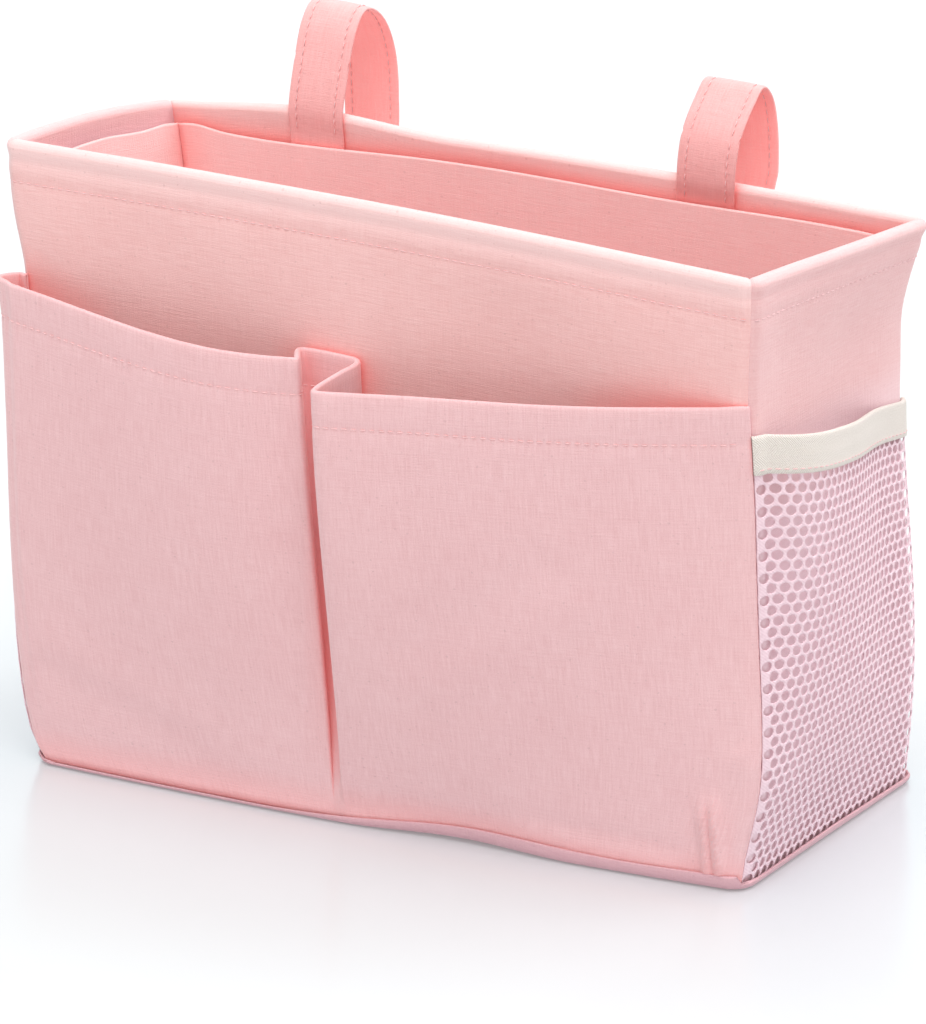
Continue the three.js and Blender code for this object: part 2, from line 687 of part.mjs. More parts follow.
// Flat block set against the back wall, or inside the rim
function wallBlock(centre, span, outLow, outHigh, low, high) {
  const ring = (z) => [[-1, outLow], [1, outLow], [1, outHigh], [-1, outHigh]].map(([side, out]) => (
    new THREE.Vector3(centre + (side * span) / 2, out, z)));
  const section = [[0, 0], [1, 0], [1, 1], [0, 1]].map(([x, y]) => new THREE.Vector2(x, y));
  return loft(between(low, high).map(ring), section);
}

function named(name, geometry, material) {
  const mesh = new THREE.Mesh(geometry, material);
  mesh.name = name;
  return mesh;
}

function shell() {
  const group = new THREE.Group();
  group.add(named('front_panel', hemmedWall(sides.front), pink));
  group.add(named('back_panel', hemmedWall(sides.back), pink));
  group.add(named('left_side_panel', hemmedWall(sides.left), pink));
  group.add(named('right_side_panel', hemmedWall(sides.right), pink));
  group.add(named('bottom_panel', bottomTray(), pink));
  return group;
}

function innerFrame() {
  const group = new THREE.Group();
  group.add(named('rim_wire', rimWire(), steel));
  for (const [name, side] of Object.entries(sides)) {
    group.add(named(`${name}_stiffener`, stiffener(side), board));
  }
  const skewX = (baseCornerShares.frontLeft[0] - baseCornerShares.frontRight[0]) * width;
  const skewY = (baseCornerShares.frontRight[1] - baseCornerShares.frontLeft[1]) * depth;
  const centre = new THREE.Vector2(
    ((baseCornerShares.frontLeft[0] + baseCornerShares.frontRight[0]) / 2) * width,
    ((baseCornerShares.frontRight[1] + baseCornerShares.backLeft[1]) / 2) * depth);
  const length = width - 2 * (stiffenerInner + clearance) - skewX;
  const span = depth - 2 * (stiffenerInner + clearance) - skewY / 2;
  const stay = (p) => p;
  group.add(named('base_board',
    roundedPlate(length, span, boardCornerRadius, wallFoot, boardTop, centre, stay), board));
  return group;
}

function lining() {
  const group = new THREE.Group();
  for (const [name, side] of Object.entries(sides)) {
    group.add(named(`lining_${name}`, liningWall(side), innerPink));
  }
  const origin = new THREE.Vector2(0, 0);
  group.add(named('lining_bottom', roundedPlate(
    width - 2 * liningInset, depth - 2 * liningInset, canvas,
    liningFloor, liningFloor + liningCloth, origin, settle), innerPink));
  return group;
}

function pockets() {
  const group = new THREE.Group();
  group.add(named('front_pocket', frontPocket(), pink));
  for (const name of ['left', 'right']) {
    group.add(named(`${name}_net`, net(sides[name]), netPink));
    group.add(named(`${name}_net_tape`, netTape(sides[name]), cream));
  }
  return group;
}

function hangers() {
  const group = new THREE.Group();
  const wall = depth / 2;
  for (const strap of straps) {
    const { side, centre } = strap;
    const { up, down } = strapLine(strap);
    const patchLow = height - strapFallToWall - (strapGrip + patchLength) / 2;
    const tailOut = wall - strapInset;
    group.add(named(`strap_${side}_tail`, wallBlock(centre, strapWidth,
      tailOut - strapThickness, tailOut, liningTop - strapTailLength, liningTop), pink));
    group.add(named(`strap_${side}_leg`, band(centre, up, 10, true, strapThickness / 2 + crownGap), pink));
    group.add(named(`strap_${side}_flap`, band(centre, down, 24, true, 0), pink));
    group.add(named(`loop_patch_${side}`, wallBlock(centre, patchWidth,
      wall + clearance, wall + clearance + patchThickness, patchLow, patchLow + patchLength), hookWhite));
    group.add(named(`hook_patch_${side}`, wallBlock(centre, patchWidth,
      wall + 2 * clearance + patchThickness, wall + 2 * (clearance + patchThickness),
      patchLow, patchLow + patchLength), hookWhite));
  }
  return group;
}

const caddy = new THREE.Group();
caddy.add(shell(), innerFrame(), lining(), pockets(), hangers());
export default caddy;
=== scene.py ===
"""Bedside caddy: an open canvas bag on a wire rim, with two front pockets, a net
pocket on each end and two hanging straps. Cloth is worked out in millimetres on the
square, cut bag, then moved to where the standing bag holds it, and stored in metres."""
import math

import bpy
import numpy as np
from mathutils import Euler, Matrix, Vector


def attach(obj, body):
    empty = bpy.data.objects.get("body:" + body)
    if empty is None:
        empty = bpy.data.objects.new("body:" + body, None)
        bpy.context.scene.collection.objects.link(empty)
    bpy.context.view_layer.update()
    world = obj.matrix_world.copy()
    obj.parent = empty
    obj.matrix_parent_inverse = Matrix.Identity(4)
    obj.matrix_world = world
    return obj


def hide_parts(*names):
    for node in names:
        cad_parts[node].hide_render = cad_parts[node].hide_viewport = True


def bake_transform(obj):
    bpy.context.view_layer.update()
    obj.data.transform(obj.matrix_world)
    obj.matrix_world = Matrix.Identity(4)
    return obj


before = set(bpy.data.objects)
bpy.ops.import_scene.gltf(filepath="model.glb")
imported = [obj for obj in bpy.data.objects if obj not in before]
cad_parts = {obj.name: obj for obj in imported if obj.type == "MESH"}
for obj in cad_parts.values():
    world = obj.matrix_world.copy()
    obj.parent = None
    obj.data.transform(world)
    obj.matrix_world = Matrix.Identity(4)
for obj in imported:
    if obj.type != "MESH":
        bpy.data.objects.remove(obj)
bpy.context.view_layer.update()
MM = 0.001

# Bag body, cloth and hems, as in the solid model
WIDTH = 300.0
DEPTH = 120.0
HEIGHT = 222.0
CORNER_RADIUS = 6.0
CLEARANCE = 0.3
CANVAS = 1.0
LINING_CLOTH = 0.8
WIRE_DIAMETER = 2.4
STIFFENER = 1.5
BOARD = 2.5
FACING_DEPTH = 28.0
LINING_DROP = 8.0
LINING_HEM = 10.0
TUCKED_HEIGHT = 3.0
POCKET_HEIGHT = 176.0
POCKET_HEM = 14.0
POCKET_BULGE = 29.0
POCKET_SAG = 12.0
NET_FRONT_HEIGHT = 167.0
NET_REAR_HEIGHT = 152.0
NET_BULGE = 8.5
NET_SLACK_SHARE = 0.6
NET_THREAD = 0.8
TAPE_HEIGHT = 13.5
TAPE_THICKNESS = 0.8
STRAP_WIDTH = 22.0
STRAP_THICKNESS = 1.4
STRAP_TAIL = 20.0
STRAP_FALL = 78.0
STRAP_GRIP = 34.0
PATCH_LENGTH = 28.0
PATCH_WIDTH = 19.0
PATCH_THICKNESS = 1.0
STRAPS = {
    "left": {"centre": -0.284 * WIDTH, "rise": 37.0, "crown_out": 15.0, "reach": 36.0, "bow": 0.0},
    "right": {"centre": 0.23 * WIDTH, "rise": 34.5, "crown_out": 12.5, "reach": 23.0, "bow": 4.0},
}

# How the filled-out cloth stands: each corner's shift as shares of the sizes
BASE_CORNER_SHARES = {
    "front_left": (0.036, -0.029),
    "front_right": (-0.024, 0.016),
    "back_right": (-0.01, 0.102),
    "back_left": (0.01, 0.008),
}
RIM_CORNER_SHARES = {
    "front_left": (-0.016, 0.066, 0.036),
    "front_right": (-0.01, -0.031, -0.008),
    "back_right": (0.022, -0.04, -0.027),
    "back_left": (-0.017, -0.031, -0.002),
}
END_SWELL_SHARE = 0.013
FACE_SWELL_SHARE = 0.02

# Upright corner edges that stand out of line, as level and shift along the width
EDGE_SHARES = {
    "front_left": ((0, 0), (0.04, -0.015), (0.12, -0.021), (0.35, -0.019), (0.6, -0.0145),
                   (0.79, -0.009), (0.88, -0.0165), (0.95, -0.016), (1, -0.0115)),
    "front_right": ((0, 0), (0.05, 0.001), (0.1, 0.005), (0.15, 0.0095), (0.2, 0.0115), (0.28, 0.0105),
                    (0.38, 0.01), (0.45, 0.0118), (0.54, 0.0155), (0.63, 0.0185), (0.72, 0.017),
                    (0.79, 0.0125), (0.86, 0.0095), (0.93, 0.006), (1, 0)),
    "back_right": ((0, 0), (0.3, -0.0085), (0.6, -0.0085), (0.75, -0.0075), (0.84, -0.0095),
                   (0.9, -0.004), (0.95, 0.0035), (1, 0.0095)),
}

# How the rim bows up between its corners, and how the front's foot bows forward and dips
FRONT_LIFT_SHARE = 0.009
BACK_LIFT_SHARE = 0.013
LEFT_LIFT_SHARE = 0.011
STRAP_LIFT_SHARE = 0.018
STRAP_LIFT_PLACE = -0.62
STRAP_LIFT_REACH = 0.42
FOOT_BOW_SHARE = 0.034
FOOT_LEVEL_SHARE = 0.22
FOOT_DIP_PLACE = 0.24
FOOT_DIP_REACH = 0.34

# Insets from the bag's outer face, and levels
ROLL_RADIUS = CANVAS + CLEARANCE + WIRE_DIAMETER / 2
STIFFENER_INSET = CANVAS + CLEARANCE
FACING_INSET = 2 * ROLL_RADIUS - CANVAS
STRAP_INSET = FACING_INSET + CANVAS + CLEARANCE
LINING_INSET = STRAP_INSET + STRAP_THICKNESS + CLEARANCE
WALL_FOOT = CANVAS + CLEARANCE
LINING_FLOOR = WALL_FOOT + BOARD + CLEARANCE
LINING_FOOT = LINING_FLOOR + LINING_CLOTH + CLEARANCE
LINING_TOP = HEIGHT - LINING_DROP
ROLL_CENTRE = HEIGHT - ROLL_RADIUS
PINCH_LEVEL = ROLL_CENTRE - 4.2

# Sewing
STITCH_PITCH = 3.4
STITCH_LENGTH = 2.5
STITCH_RADIUS = 0.21
STITCH_SINK = 0.3
HEM_STITCH = HEIGHT - 14.0
STRAP_ROW = 3.2
CELL = STITCH_PITCH / 2
PATCH_MIDDLE = HEIGHT - STRAP_FALL - STRAP_GRIP / 2
SEAM_GAP = 0.15

# Camera, fitted to the photograph's corners
CAMERA_AZIMUTH = 28.52
CAMERA_ELEVATION = 17.80
CAMERA_DISTANCE = 2158.0
CAMERA_LENS = 210.94
CAMERA_AIM = (1.5, -10.0, 110.0)


def lerp(a, b, t):
    return a + (b - a) * t


def ease(t):
    t = np.clip(t, 0, 1)
    return t * t * (3 - 2 * t)


def bump(x, centre, reach):
    """1 at the centre, falling smoothly to 0 at the reach."""
    return ease(1 - np.abs(x - centre) / reach)


def within(x, half, fade):
    """1 near the middle, falling smoothly to 0 at half of the width, over the fade."""
    return ease((half - np.abs(x)) / fade)


def arch(x):
    """1 in the middle of a side and 0 from its ends on."""
    return np.maximum(1 - x * x, 0)


def bell(x, centre, reach):
    return np.exp(-((x - centre) / reach) ** 2)


def unit(v):
    return v / np.maximum(np.linalg.norm(v, axis=-1, keepdims=True), 1e-9)


def corner_shift(shares, u, v, axis):
    front = lerp(shares["front_left"][axis], shares["front_right"][axis], (1 + u) / 2)
    back = lerp(shares["back_left"][axis], shares["back_right"][axis], (1 + u) / 2)
    return lerp(front, back, (1 + v) / 2)


def smooth_table(table, place):
    """Smooth values between the rows of a table of (place, value)."""
    at, value = np.array(table, float).T
    last = len(at) - 1
    x = np.clip(place, at[0], at[-1])
    i = np.clip(np.searchsorted(at, x) - 1, 0, last - 1)

    def slope(k):
        low, high = np.maximum(k - 1, 0), np.minimum(k + 1, last)
        return (value[high] - value[low]) / (at[high] - at[low])

    span, step = at[i + 1] - at[i], value[i + 1] - value[i]
    t = (x - at[i]) / span
    bend = lerp(slope(i) * span - step, step - slope(i + 1) * span, t)
    return value[i] + t * step + t * (1 - t) * bend


def rim_lift(u, v):
    back = BACK_LIFT_SHARE * arch(u) + STRAP_LIFT_SHARE * bump(u, STRAP_LIFT_PLACE, STRAP_LIFT_REACH)
    left = LEFT_LIFT_SHARE * arch(v) * ease((-0.7 - u) / 0.3)
    return lerp(FRONT_LIFT_SHARE * arch(u), back, (1 + v) / 2) + left


def settle(p):
    """Moves points of the cut, square bag to where the standing bag holds them."""
    x, y, z = p[..., 0], p[..., 1], p[..., 2]
    u, v, s = 2 * x / WIDTH, 2 * y / DEPTH, z / HEIGHT
    inside = np.clip(s, 0, 1)
    shift = [lerp(corner_shift(BASE_CORNER_SHARES, u, v, a), corner_shift(RIM_CORNER_SHARES, u, v, a), s)
             for a in (0, 1)]
    end_swell = u * END_SWELL_SHARE * np.sin(2 * np.pi * inside)
    face_swell = v * FACE_SWELL_SHARE * arch(u) * np.sin(np.pi * inside)
    edge_shift = (smooth_table(EDGE_SHARES["front_left"], s) * (1 - u) * (1 - v)
                  + smooth_table(EDGE_SHARES["front_right"], s) * (1 + u) * (1 - v) * np.clip(u, 0, 1) ** 2
                  + smooth_table(EDGE_SHARES["back_right"], s) * (1 + u) * (1 + v)) / 4
    low = np.maximum(1 - np.maximum(s, 0) / FOOT_LEVEL_SHARE, 0) ** 2
    front = np.minimum((1 - v) / 2, 1)
    dip = bump(u, FOOT_DIP_PLACE, FOOT_DIP_REACH)
    foot_bow = -FOOT_BOW_SHARE * arch(u) * front * low * (1 - 0.85 * dip)
    return np.stack([
        x + WIDTH * (shift[0] + end_swell + edge_shift),
        y + DEPTH * (shift[1] + face_swell + foot_bow),
        z * (1 + corner_shift(RIM_CORNER_SHARES, u, v, 2) + rim_lift(u, v)) + 0.9 * dip * low * front ** 6,
    ], axis=-1)


def curve_through(points, count):
    """Centripetal Catmull-Rom curve through rows of numbers."""
    p = np.asarray(points, float)
    p = np.vstack([2 * p[0] - p[1], p, 2 * p[-1] - p[-2]])
    out = []
    for t in np.linspace(0, len(points) - 1, count):
        i = min(int(t), len(points) - 2)
        a, b, c, d = p[i:i + 4]
        gap = [max(np.linalg.norm(q - r), 1e-6) ** 0.5 for q, r in ((b, a), (c, b), (d, c))]
        t1, t2, t3 = gap[0], gap[0] + gap[1], sum(gap)
        w = lerp(t1, t2, t - i)
        a1 = a * (t1 - w) / t1 + b * w / t1
        a2 = b * (t2 - w) / (t2 - t1) + c * (w - t1) / (t2 - t1)
        a3 = c * (t3 - w) / (t3 - t2) + d * (w - t2) / (t3 - t2)
        b1 = a1 * (t2 - w) / t2 + a2 * w / t2
        b2 = a2 * (t3 - w) / (t3 - t1) + a3 * (w - t1) / (t3 - t1)
        out.append(b1 * (t2 - w) / (t2 - t1) + b2 * (w - t1) / (t2 - t1))
    return np.array(out)


def line_length(points):
    """Length along a line of points, up to each."""
    return np.concatenate([[0], np.cumsum(np.linalg.norm(np.diff(points, axis=0), axis=1))])


def along_line(values, length, places):
    """Rows of values, known at each length, read at other places."""
    return np.stack([np.interp(places, length, values[:, k]) for k in range(values.shape[1])], axis=1)


def spread(points, step):
    """Points set evenly along a line of points."""
    length = line_length(points)
    places = np.linspace(0, length[-1], max(int(round(length[-1] / step)), 1) + 1)
    return along_line(points, length, places)


# Materials
class Nodes:
    """Node tree of a new material or world, with short ways to add to it."""

    def __init__(self, owner):
        owner.use_nodes = True
        self.owner, self.tree = owner, owner.node_tree
        self.tree.nodes.clear()

    def fill(self, node, inputs):
        for key, value in dict(inputs).items():
            if isinstance(value, bpy.types.NodeSocket):
                self.tree.links.new(value, node.inputs[key])
            else:
                node.inputs[key].default_value = value

    def add(self, kind, inputs=(), **settings):
        node = self.tree.nodes.new("ShaderNode" + kind)
        for key, value in settings.items():
            setattr(node, key, value)
        self.fill(node, inputs)
        return node

    def math(self, operation, *values):
        return self.add("Math", dict(enumerate(values)), operation=operation).outputs[0]

    def total(self, first, *others):
        for other in others:
            first = self.math("ADD", first, other)
        return first

    def fit(self, value, from_low, from_high, to_low, to_high):
        return self.add("MapRange", {"Value": value, "From Min": from_low, "From Max": from_high,
                                     "To Min": to_low, "To Max": to_high}).outputs["Result"]

    def mix(self, share, first, second):
        return self.add("Mix", {0: share, 6: first, 7: second}, data_type="RGBA").outputs[2]


class Surface(Nodes):
    """Material of one shader, whose patterns lie on the cloth map."""

    def __init__(self, name):
        super().__init__(bpy.data.materials.new(name))
        self.shader = self.add("BsdfPrincipled")
        self.output = self.add("OutputMaterial", {"Surface": self.shader.outputs[0]})

    def uv(self):
        return self.add("SeparateXYZ", {0: self.add("UVMap", uv_map="cloth").outputs[0]}).outputs

    def place(self, along, across):
        """Place on the cloth in yarns: metres of the cloth map times the two counts."""
        uv = self.add("UVMap", uv_map="cloth").outputs[0]
        return self.add("VectorMath", {0: uv, 1: (along, across, 1.0)}, operation="MULTIPLY").outputs[0]

    def noise(self, along, across, detail=2.0, rough=0.5):
        return self.add("TexNoise", {"Vector": self.place(along, across), "Scale": 1.0, "Detail": detail,
                                     "Roughness": rough}).outputs[0]

    def wave(self, along, across, distortion, way="X"):
        return self.add("TexWave", {"Vector": self.place(along, across), "Scale": 1.0, "Detail": 1.0,
                                    "Distortion": distortion}, bands_direction=way).outputs["Fac"]

    def finish(self, colour, rough, height, strength, distance, more=()):
        """Sets the shader, with a height in metres as relief, and gives the material."""
        relief = self.add("Bump", {"Strength": strength, "Distance": distance, "Height": height})
        self.fill(self.shader, {"Base Color": colour, "Roughness": rough, "Normal": relief.outputs[0], **dict(more)})
        return self.owner


def srgb(r, g, b):
    """Linear colour of an 8-bit screen colour."""
    return tuple((c / 255 / 12.92 if c <= 10 else ((c / 255 + 0.055) / 1.055) ** 2.4) for c in (r, g, b)) + (1.0,)


# Noise mostly lies between these values. Slubs in a metre of yarn, and side by side
NOISE_SPAN = (0.3, 0.7)
LONG_SLUB, THIN_SLUB = 95.0, 1500.0
# Painted shade colour mixed into folds, painted highlight colour for the rim roll, colour of the painted glow, and
# how far ambient occlusion looks for a fold
FOLD_SHADE_PINK = srgb(248, 140, 134)
RIM_HIGHLIGHT_PINK = srgb(250, 226, 224)
PAINTED_GLOW_COLOUR = (0.95, 0.22, 0.2, 1)
FOLD_REACH = 0.016


def canvas_material(name, light, dark, slubs_along=True, fold=FOLD_SHADE_PINK, painted_light_below=None, painted_rim_light_and_facing_shade=False, painted_glow=0.1,
                    painted_strap_light_run=None):
    """Plain-woven canvas: yarns with slubs, uneven dye, small dark neps and a dull nap. In its folds, found by
    ambient occlusion, a redder colour is mixed in as painted shade, and a painted glow of the given strength
    stands in for light that goes through the cloth and from ply to ply. A paler colour can be painted on a wall's
    lower part, as painted light against the net's shade. A wall can get a painted highlight on its rim roll and
    redder painted shade on its facing. A run of places along the cloth can give the painted glow instead."""
    cloth = Surface(name)
    counts = (LONG_SLUB, THIN_SLUB) if slubs_along else (THIN_SLUB, LONG_SLUB)
    main = cloth.noise(*counts, 3.0, 0.6)
    cross = cloth.noise(*counts[::-1])
    grain = cloth.noise(1900.0, 1900.0, 1.0)
    cloud = cloth.noise(28.0, 28.0, 3.0, 0.55)
    colour = cloth.mix(cloth.total(*(cloth.fit(mark, *NOISE_SPAN, 0.0, share) for mark, share in (
        (main, 0.42), (cross, 0.2), (grain, 0.26), (cloud, 0.12)))), dark, light)
    up = cloth.uv()[1]
    # Paler towards the foot: painted light that makes up for the net's shade on the wall behind it
    if painted_light_below:
        colour = cloth.mix(cloth.fit(up, 0.13, 0.165, 0.8, 0.0), colour, painted_light_below)
    # Painted highlight along the rim roll, then redder painted shade on the facing below it
    if painted_rim_light_and_facing_shade:
        rim = cloth.math("MULTIPLY", cloth.fit(up, 0.214, 0.222, 0.0, 0.4), cloth.fit(up, 0.227, 0.232, 1.0, 0.0))
        colour = cloth.mix(rim, colour, RIM_HIGHLIGHT_PINK)
        colour = cloth.mix(cloth.fit(up, 0.232, 0.24, 0.0, 0.25), colour, fold)
    nep_colour = tuple(0.72 * c for c in dark[:3]) + (1.0,)
    colour = cloth.mix(cloth.fit(cloth.noise(700.0, 700.0, 0.0), 0.77, 0.81, 0.0, 0.28), colour, nep_colour)
    # Ambient occlusion finds the folds that get painted shade and painted glow
    open_share = cloth.add("AmbientOcclusion", {"Distance": FOLD_REACH}, samples=1).outputs["AO"]
    closed = cloth.fit(open_share, 0.0, 1.0, 0.82, 0.0)
    # Painted glow: rising along a strap's run, or else in folds
    if painted_strap_light_run:
        lit = cloth.fit(up, *painted_strap_light_run)
    else:
        lit = cloth.math("MULTIPLY", closed, painted_glow) if painted_glow else 0.0
    yarn = cloth.math("MULTIPLY", cloth.wave(520.0, 0.0, 0.6), cloth.wave(0.0, 520.0, 0.6, "Y"))
    height = cloth.total(cloth.math("MULTIPLY", main, 1.2), cross, cloth.math("MULTIPLY", grain, 0.7),
                         cloth.math("MULTIPLY", yarn, 0.3))
    # Painted shade: the fold colour mixed in where the cloth is closed in; the painted glow goes in as emission
    return cloth.finish(
        cloth.mix(closed, colour, fold), cloth.fit(grain, *NOISE_SPAN, 0.86, 0.98), height, 0.55, 0.0002,
        {"Emission Color": PAINTED_GLOW_COLOUR, "Emission Strength": lit, "Specular IOR Level": 0.25, "Sheen Weight": 0.3,
         "Sheen Roughness": 0.45})


def twill_material(name):
    """Cream herringbone tape: slanting ribs that turn back every few yarns."""
    tape = Surface(name)
    chevron, rib = 3.4, 0.95
    along, across = (tape.math("MULTIPLY", place, 1 / (rib * MM)) for place in list(tape.uv())[:2])
    ribs = tape.total(along, tape.math("PINGPONG", across, chevron / rib))
    slant = tape.math("SINE", tape.math("MULTIPLY", ribs, 2 * math.pi))
    fuzz = tape.noise(1500.0, 1500.0)
    tone = tape.total(tape.fit(slant, -1.0, 1.0, 0.15, 0.7), tape.fit(fuzz, *NOISE_SPAN, 0.0, 0.3))
    height = tape.total(slant, tape.math("MULTIPLY", fuzz, 1.5))
    return tape.finish(tape.mix(tone, srgb(205, 192, 182), srgb(236, 228, 220)), 0.9, height, 0.5, 0.0002,
                       {"Sheen Weight": 0.1})


def thread_material(name, light, dark, count):
    """Twisted thread: fine slanting plies along its length."""
    thread = Surface(name)
    plies = thread.wave(count, count, 1.0, "DIAGONAL")
    fuzz = thread.fit(thread.noise(900.0, 900.0, 1.0), *NOISE_SPAN, 0.0, 0.5)
    tone = thread.total(thread.math("MULTIPLY", plies, 0.5), fuzz)
    return thread.finish(thread.mix(tone, dark, light), 0.6, plies, 0.4, 0.0001, {"Sheen Weight": 0.1})


def felt_material(name, light, dark):
    felt = Surface(name)
    fibre = felt.noise(900.0, 700.0, 4.0, 0.7)
    return felt.finish(felt.mix(felt.fit(fibre, *NOISE_SPAN, 0.0, 1.0), dark, light), 0.95, fibre, 0.6, 0.0003)


def solid_material(name, light, dark, metal, rough, scale, stretch):
    """Drawn wire or extruded sheet: marks stretched the way it was made."""
    solid = Surface(name)
    place = solid.add("VectorMath", {0: solid.add("TexCoord").outputs["Object"], 1: stretch}, operation="MULTIPLY")
    marks = solid.add("TexNoise", {"Vector": place.outputs[0], "Scale": scale, "Detail": 3.0}).outputs[0]
    return solid.finish(solid.mix(marks, dark, light), solid.fit(marks, 0.2, 0.8, rough - 0.08, rough + 0.08), marks,
                        0.15, 0.0001, {"Metallic": metal})


# Shell and side walls get a painted rim highlight and painted shade on the facing; each material's fold colour is
# its painted shade in folds
SHELL = canvas_material("shell_canvas", srgb(242, 200, 197), srgb(228, 171, 168), painted_rim_light_and_facing_shade=True)
# The side walls are painted paler below the net's mouth, as painted light under the net
NET_BACKING = canvas_material("net_backing_canvas", srgb(235, 195, 194), srgb(223, 167, 167),
                              fold=srgb(226, 191, 199), painted_light_below=srgb(240, 217, 225), painted_rim_light_and_facing_shade=True, painted_glow=0.03)
POCKET = canvas_material("pocket_canvas", srgb(236, 197, 198), srgb(219, 168, 170), slubs_along=False,
                         fold=srgb(240, 146, 142), painted_glow=0.07)
# The lining is painted lighter than the shell, as painted light for the bag's inside
LINING = canvas_material("lining_canvas", srgb(254, 219, 217), srgb(248, 196, 194))
BOTTOM = canvas_material("bottom_canvas", srgb(222, 181, 185), srgb(203, 155, 162), fold=srgb(198, 148, 157),
                         painted_glow=0.0)
# Past the crown a strap is one open run; a painted glow along it stands in for light coming through from behind
STRAPPING = canvas_material("strap_canvas", srgb(240, 190, 188), srgb(227, 163, 161), slubs_along=False,
                            painted_strap_light_run=(0.06, 0.085, 0.03, 0.28))
TAPE = twill_material("twill_tape")
NET = thread_material("net_thread", srgb(237, 209, 216), srgb(223, 190, 199), 500.0)
THREAD = thread_material("sewing_thread", srgb(244, 208, 208), srgb(226, 176, 176), 900.0)
FELT = felt_material("stiffening_felt", srgb(238, 236, 232), srgb(214, 211, 206))
FUZZ = felt_material("loop_pile", srgb(246, 243, 241), srgb(226, 222, 219))
HOOKS = felt_material("hook_nylon", srgb(244, 242, 240), srgb(228, 225, 222))
WIRE = solid_material("drawn_wire", srgb(205, 207, 210), srgb(150, 152, 156), 1.0, 0.32, 900.0, (1, 1, 1))
SHEETING = solid_material("extruded_board", srgb(236, 234, 230), srgb(220, 217, 212), 0.0, 0.5, 160.0, (1, 9, 1))


# Meshes
def put(name, data):
    """Object of a mesh, a camera or a light, in the scene."""
    thing = bpy.data.objects.new(name, data)
    bpy.context.scene.collection.objects.link(thing)
    return thing


def mesh_piece(name, points, faces, uv, shading, material):
    """Object from points in millimetres, with the cloth map in metres."""
    mesh = bpy.data.meshes.new(name)
    mesh.from_pydata((np.asarray(points) * MM).tolist(), [], np.asarray(faces).tolist())
    layer = mesh.uv_layers.new(name="cloth")
    index = np.zeros(len(mesh.loops), np.int32)
    mesh.loops.foreach_get("vertex_index", index)
    layer.data.foreach_set("uv", (np.asarray(uv) * MM)[index].astype(np.float32).ravel())
    mesh.polygons.foreach_set("use_smooth", np.ones(len(mesh.polygons), bool))
    mesh.update()
    if shading is not None:
        mesh.normals_split_custom_set_from_vertices(shading.tolist())
    mesh.materials.append(material)
    return put(name, mesh)


def edge_round(n, m):
    """Places round the border of an n by m grid, in order, as two index lists."""
    i = [*range(n), *[n - 1] * (m - 1), *range(n - 2, -1, -1), *[0] * (m - 2)]
    j = [*[0] * n, *range(1, m), *[m - 1] * (n - 1), *range(m - 2, 0, -1)]
    return np.array(i), np.array(j)


def end_signs(count):
    """-1 for the first of a row, 1 for the last and 0 in between."""
    signs = np.zeros(count)
    signs[0], signs[-1] = -1, 1
    return signs


# How far a cloth's edge bulges, as a share of its thickness
ROUND_SHARE = 0.35


def grid_normals(grid):
    return unit(np.cross(np.gradient(grid, axis=0), np.gradient(grid, axis=1)))


def cloth_mesh(grid, thickness, uv, outer=0.0, inner=0.0, joined=None, ways=None):
    """Points, faces and map of a closed cloth round a middle surface, with soft edges.
    outer and inner raise or sink either face, in millimetres. joined is a row whose edge
    is cut square, because another length of the same cloth goes on from there, and ways are
    the normals of its middle, front and back, by which it is shaded so that no line shows."""
    n, m = grid.shape[:2]
    normal = grid_normals(grid) if ways is None else ways[0]
    front = grid + normal * (thickness / 2 + np.asarray(outer))[..., None]
    back = grid - normal * (thickness / 2 + np.asarray(inner))[..., None]
    i, j = edge_round(n, m)
    way_u, way_v = unit(np.gradient(grid, axis=0)), unit(np.gradient(grid, axis=1))
    push = way_u * end_signs(n)[:, None, None] + way_v * end_signs(m)[None, :, None]
    if joined is not None:
        push[:, joined] = 0
    middle = ((front + back) / 2 + push * thickness * ROUND_SHARE)[i, j]
    points = np.concatenate([front.reshape(-1, 3), back.reshape(-1, 3), middle])
    index = np.arange(n * m).reshape(n, m)
    quad = np.stack([index[:-1, :-1], index[1:, :-1], index[1:, 1:], index[:-1, 1:]], axis=-1).reshape(-1, 4)
    ring = index[i, j]
    edge = 2 * n * m + np.arange(len(ring))
    following = np.roll(np.arange(len(ring)), -1)
    front_band = np.stack([ring, edge, edge[following], ring[following]], axis=-1)
    back_band = np.stack([edge, ring + n * m, ring[following] + n * m, edge[following]], axis=-1)
    faces = np.concatenate([quad, quad[:, ::-1] + n * m, front_band, back_band])
    flat_uv, shading = uv.reshape(-1, 2), None
    if ways is not None:
        shading = np.concatenate([ways[1].reshape(-1, 3), -ways[2].reshape(-1, 3), unit(push + 0.1 * normal)[i, j]])
    return points, faces, np.concatenate([flat_uv, flat_uv, uv[i, j]]), shading


def cloth_map(grid, start):
    """Map of a grid in millimetres of cloth along both ways."""
    runs = [np.cumsum(np.linalg.norm(np.diff(grid, axis=k), axis=2).mean(axis=1 - k)) for k in (0, 1)]
    u, v = (np.concatenate([[0], run]) + first for run, first in zip(runs, start))
    return np.stack(np.meshgrid(u, v, indexing="ij"), axis=-1)


def carry(piece, body, nodes=(), blend=None):
    """Parents the piece to its body, or only bakes its place when blend is given, and hides the CAD nodes that it
    stands for.
    """
    if blend:
        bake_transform(piece)
    else:
        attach(piece, body)
    if nodes:
        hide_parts(*nodes)


def cloth(name, grid, thickness, material, body, nodes, slot, held, rests_on, start=(0.0, 0.0),
          outer=0.0, inner=0.0, blend=None, joined=None, ways=None):
    """Closed sheet of cloth that stands for CAD nodes."""
    uv = cloth_map(grid, start)
    piece = mesh_piece(name, *cloth_mesh(grid, thickness, uv, outer, inner, joined, ways), material)
    carry(piece, body, nodes, blend)


